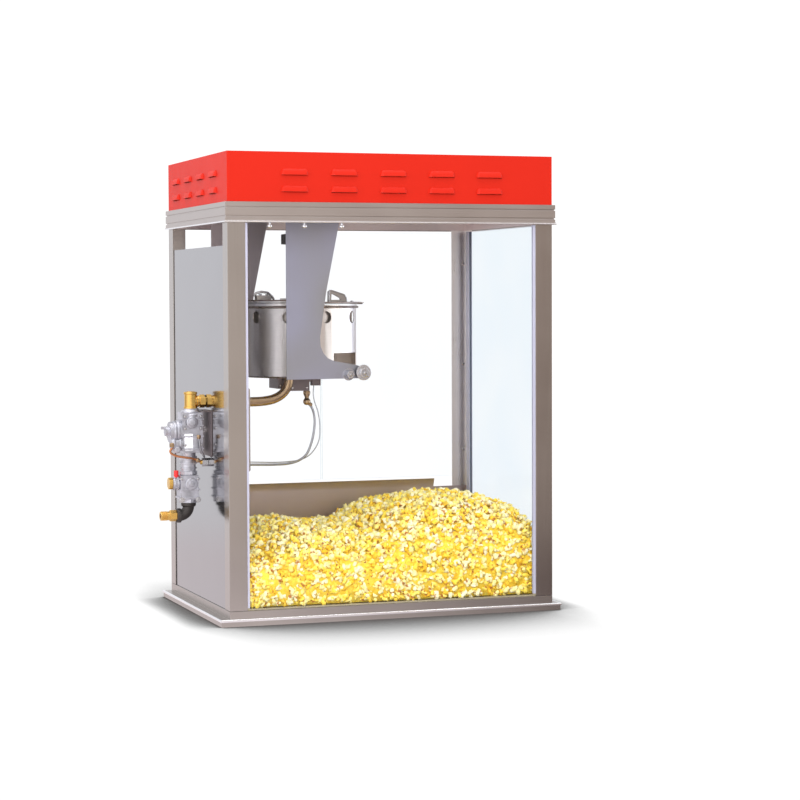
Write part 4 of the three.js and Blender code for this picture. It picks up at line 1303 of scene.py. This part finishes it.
def lobed_ball(rng, sphere):
    """Points of one popped kernel: the outside of a few balls that grow from one centre."""
    count = rng.integers(*LOBE_COUNT)
    centres = rng.normal(size=(count, 3))
    centres /= np.linalg.norm(centres, axis=1)[:, None]
    centres *= rng.uniform(*LOBE_REACH, (count, 1))
    radii = rng.uniform(*LOBE_RADIUS, count)
    along = sphere @ centres.T
    inside = radii ** 2 - (centres ** 2).sum(1) + along ** 2
    reach = np.where(inside > 0, along + np.sqrt(np.maximum(inside, 0)), KERNEL_LEAST)
    ordered = np.sort(np.maximum(reach, KERNEL_LEAST), axis=1)
    crease = np.exp(-(ordered[:, -1] - ordered[:, -2]) / CREASE_WIDTH)
    size = ordered[:, -1] - CREASE_DEPTH * crease
    waves = sphere @ rng.normal(size=3) * WOBBLE_WAVES
    wobble = 1 + WOBBLE * np.sin(waves + rng.uniform(0, WOBBLE_PHASE))
    return sphere * (size * wobble)[:, None], crease


def unit_sphere(subdivisions):
    """The points and faces of a ball."""
    bm = bmesh.new()
    bmesh.ops.create_icosphere(bm, subdivisions=subdivisions, radius=1.0)
    points = np.array([v.co for v in bm.verts])
    faces = np.array([[v.index for v in f.verts] for f in bm.faces])
    bm.free()
    return points, faces


def random_turns(rng, count):
    """Rotation matrices spread evenly over all turns."""
    q = rng.normal(size=(count, 4))
    q /= np.linalg.norm(q, axis=1)[:, None]
    w, x, y, z = q.T
    rows = [[1 - 2 * (y * y + z * z), 2 * (x * y - z * w), 2 * (x * z + y * w)],
            [2 * (x * y + z * w), 1 - 2 * (x * x + z * z), 2 * (y * z - x * w)],
            [2 * (x * z - y * w), 2 * (y * z + x * w), 1 - 2 * (x * x + y * y)]]
    return np.array(rows).transpose(2, 0, 1)


def heap_top():
    """A function that gives the height of the CAD heap at a point, or None beside it."""
    bm = bmesh.new()
    bm.from_mesh(NODES["popcorn_heap"].data)
    tree = BVHTree.FromBMesh(bm)
    bm.free()

    def top(x, y):
        hit = tree.ray_cast(Vector((x, y, 1.0)), DOWN)[0]
        return hit.z if hit else None
    return top


def jitter(rng):
    """Up to half a pitch either way."""
    return rng.uniform(-0.5, 0.5) * KERNEL_PITCH


def top_places(rng, top, low, high):
    """Where kernels lie over the top of the heap."""
    places = []
    for y in np.arange(low.y + CORN_EDGE, high.y - CORN_EDGE, KERNEL_PITCH * ROW_SHARE):
        for x in np.arange(low.x + CORN_EDGE, high.x - CORN_EDGE, KERNEL_PITCH):
            px = np.clip(x + jitter(rng), low.x + CORN_EDGE, high.x - CORN_EDGE)
            py = np.clip(y + jitter(rng), low.y + CORN_EDGE, high.y - CORN_EDGE)
            height = top(px, py)
            if height is not None:
                places.append((px, py, height - TOP_SINK + rng.uniform(*TOP_SPREAD)))
    return places


def wall_places(rng, top, low, high, axis, wall, inward):
    """Where kernels lie against one wall, which stands across the axis named."""
    first, last = (low.x, high.x) if axis == "y" else (low.y, high.y)
    places = []
    for u in np.arange(first + CORN_EDGE, last - CORN_EDGE, KERNEL_PITCH * COLUMN_SHARE):
        for z in np.arange(low.z + CORN_FOOT, high.z, KERNEL_PITCH * ROW_SHARE):
            pu = np.clip(u + jitter(rng), first + CORN_EDGE, last - CORN_EDGE)
            pz = max(z + jitter(rng), low.z + CORN_FOOT)
            depth = wall + inward * (CORN_EDGE + rng.uniform(*WALL_SPREAD))
            x, y = (pu, depth) if axis == "y" else (depth, pu)
            height = top(x, y)
            if height is not None and pz < height - WALL_HEADROOM:
                places.append((x, y, pz))
    return places


def corn_places(rng, top):
    """Where kernels lie, from left to right: over the heap and down each of its sides."""
    low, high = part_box("popcorn_heap")
    places = top_places(rng, top, low, high)
    for axis, wall, inward in (("y", low.y, 1), ("y", high.y, -1), ("x", low.x, 1),
                               ("x", high.x, -1)):
        places += wall_places(rng, top, low, high, axis, wall, inward)
    places = np.array(places)
    return places[np.argsort(places[:, 0])]


def corn_material():
    """Butter-yellow flesh of many tones, browner in the creases, with bits of hulls there and
    painted shade.
    """
    material, t = new_material("popped_corn")
    tone = t.add("ShaderNodeAttribute", attribute_name="tone").outputs["Fac"]
    crease = t.add("ShaderNodeAttribute", attribute_name="crease").outputs["Fac"]
    butter = t.noise(130.0, detail=2.0)
    blend = t.maths("ADD", tone, t.maths("MULTIPLY_ADD", butter, 0.9, -0.45))
    flesh = t.ramp(blend, FLESH)
    # Painted crease shade and hulls: brown where a kernel creases, patchy by noise.
    hull_and_crease_shade = t.ramp(t.maths("MULTIPLY", crease, t.noise(90.0)), [(0.24, 0), (0.52, 1)])
    t.surface({"Base Color": t.mix(hull_and_crease_shade, flesh, HULL_AND_CREASE_SHADE_BROWN), "Roughness": 0.62,
               "Specular IOR Level": 0.3, "Normal": t.bump(t.noise(900.0), 0.0006)})
    return material


def corn_object(name, points, faces, material, values):
    """A smooth mesh of popped corn, with a number of each name in values at each point."""
    mesh = bpy.data.meshes.new(name)
    mesh.vertices.add(len(points))
    mesh.vertices.foreach_set("co", np.asarray(points, np.float32).ravel())
    mesh.loops.add(faces.size)
    mesh.loops.foreach_set("vertex_index", faces.astype(np.int32).ravel())
    mesh.polygons.add(len(faces))
    corners = faces.shape[1]
    mesh.polygons.foreach_set("loop_start", np.arange(0, faces.size, corners, dtype=np.int32))
    mesh.polygons.foreach_set("use_smooth", np.full(len(faces), True))
    mesh.update(calc_edges=True)
    mesh.materials.append(material)
    for key, numbers in values.items():
        layer = mesh.attributes.new(key, "FLOAT", "POINT")
        layer.data.foreach_set("value", numbers.astype(np.float32))
    obj = bpy.data.objects.new(name, mesh)
    bpy.context.scene.collection.objects.link(obj)
    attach(obj, "cabinet")
    return obj


def grid_rim(across, along):
    """The numbers of a grid's outer points, in order round it."""
    rim = list(range(across))
    rim += [j * across + across - 1 for j in range(1, along)]
    rim += [(along - 1) * across + i for i in range(across - 2, -1, -1)]
    return rim + [j * across for j in range(along - 2, 0, -1)]


def mound_faces(across, along):
    """The faces of a closed mound: an upper grid, the same one below it, and a wall between."""
    upper = []
    for j in range(along - 1):
        for i in range(across - 1):
            a = j * across + i
            upper.append((a, a + 1, a + across + 1, a + across))
    base = across * along
    lower = [tuple(base + i for i in reversed(face)) for face in upper]
    rim = grid_rim(across, along)
    wall = [(i, base + i, base + n, n) for i, n in zip(rim, rim[1:] + rim[:1])]
    return np.array(upper + lower + wall)


def corn_core(top, material):
    """A plain mound under the kernels, so that no gap shows the empty inside of the heap."""
    low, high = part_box("popcorn_heap")
    across, along = CORE_GRID
    xs = np.linspace(low.x + CORE_INSET, high.x - CORE_INSET, across)
    ys = np.linspace(low.y + CORE_INSET, high.y - CORE_INSET, along)
    crust = [(x, y, max(top(x, y) - CORE_SINK, low.z + CORE_LEAST)) for y in ys for x in xs]
    points = np.array(crust + [(x, y, low.z + CORE_FLOOR) for x, y, _ in crust])
    corn_object("popcorn_core", points, mound_faces(across, along), material,
                {"tone": np.full(len(points), CORE_TONE),
                 "crease": np.full(len(points), CORE_CREASE)})


def pop_corn():
    """Thousands of kernels in a few meshes, round a core that closes the gaps between them."""
    rng = np.random.default_rng(SEED)
    material = corn_material()
    sphere, faces = unit_sphere(2)
    shapes = [lobed_ball(rng, sphere) for _ in range(KERNEL_SHAPES)]
    top = heap_top()
    places = corn_places(rng, top)
    for number, part in enumerate(np.array_split(places, CORN_PIECES), 1):
        turns = random_turns(rng, len(part))
        sizes = rng.uniform(*KERNEL_SIZE, len(part))
        kinds = rng.integers(0, len(shapes), len(part))
        points = [shapes[kind][0] @ turn.T * size + place
                  for place, turn, size, kind in zip(part, turns, sizes, kinds)]
        joined = np.concatenate([faces + i * len(sphere) for i in range(len(part))])
        values = {"tone": np.repeat(rng.beta(*TONE_SPREAD, len(part)), len(sphere)),
                  "crease": np.concatenate([shapes[kind][1] for kind in kinds])}
        obj = corn_object(f"popcorn_{number}", np.concatenate(points), joined, material, values)
        if number == 1:
            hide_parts("popcorn_heap")
    corn_core(top, material)


# ---------------------------------------------------------------- the scene

DRAWINGS = (cabinet_screws, cabinet_beads, ceiling_screws, switch_bezels, side_gusset,
            kettle_beads, pivot_nuts, grip_ridges, bracket_bolts, lid_rim, lid_handle,
            lid_edge_flap, lid_latch, lid_hinge, gas_valve_castings, gas_train_screws,
            gas_valve_label, brass_details, elbow_beads, tube_nuts, mixing_tube_collars,
            pilot_union, burner_screws, motor_ribs, lamp_caps, door_grommets, pop_corn)

bpy.context.scene.view_settings.view_transform = "Standard"
make_camera()
make_world()
make_floor()
for light in LIGHTS:
    area_light(*light)
dress_cad()
for draw in DRAWINGS:
    draw()
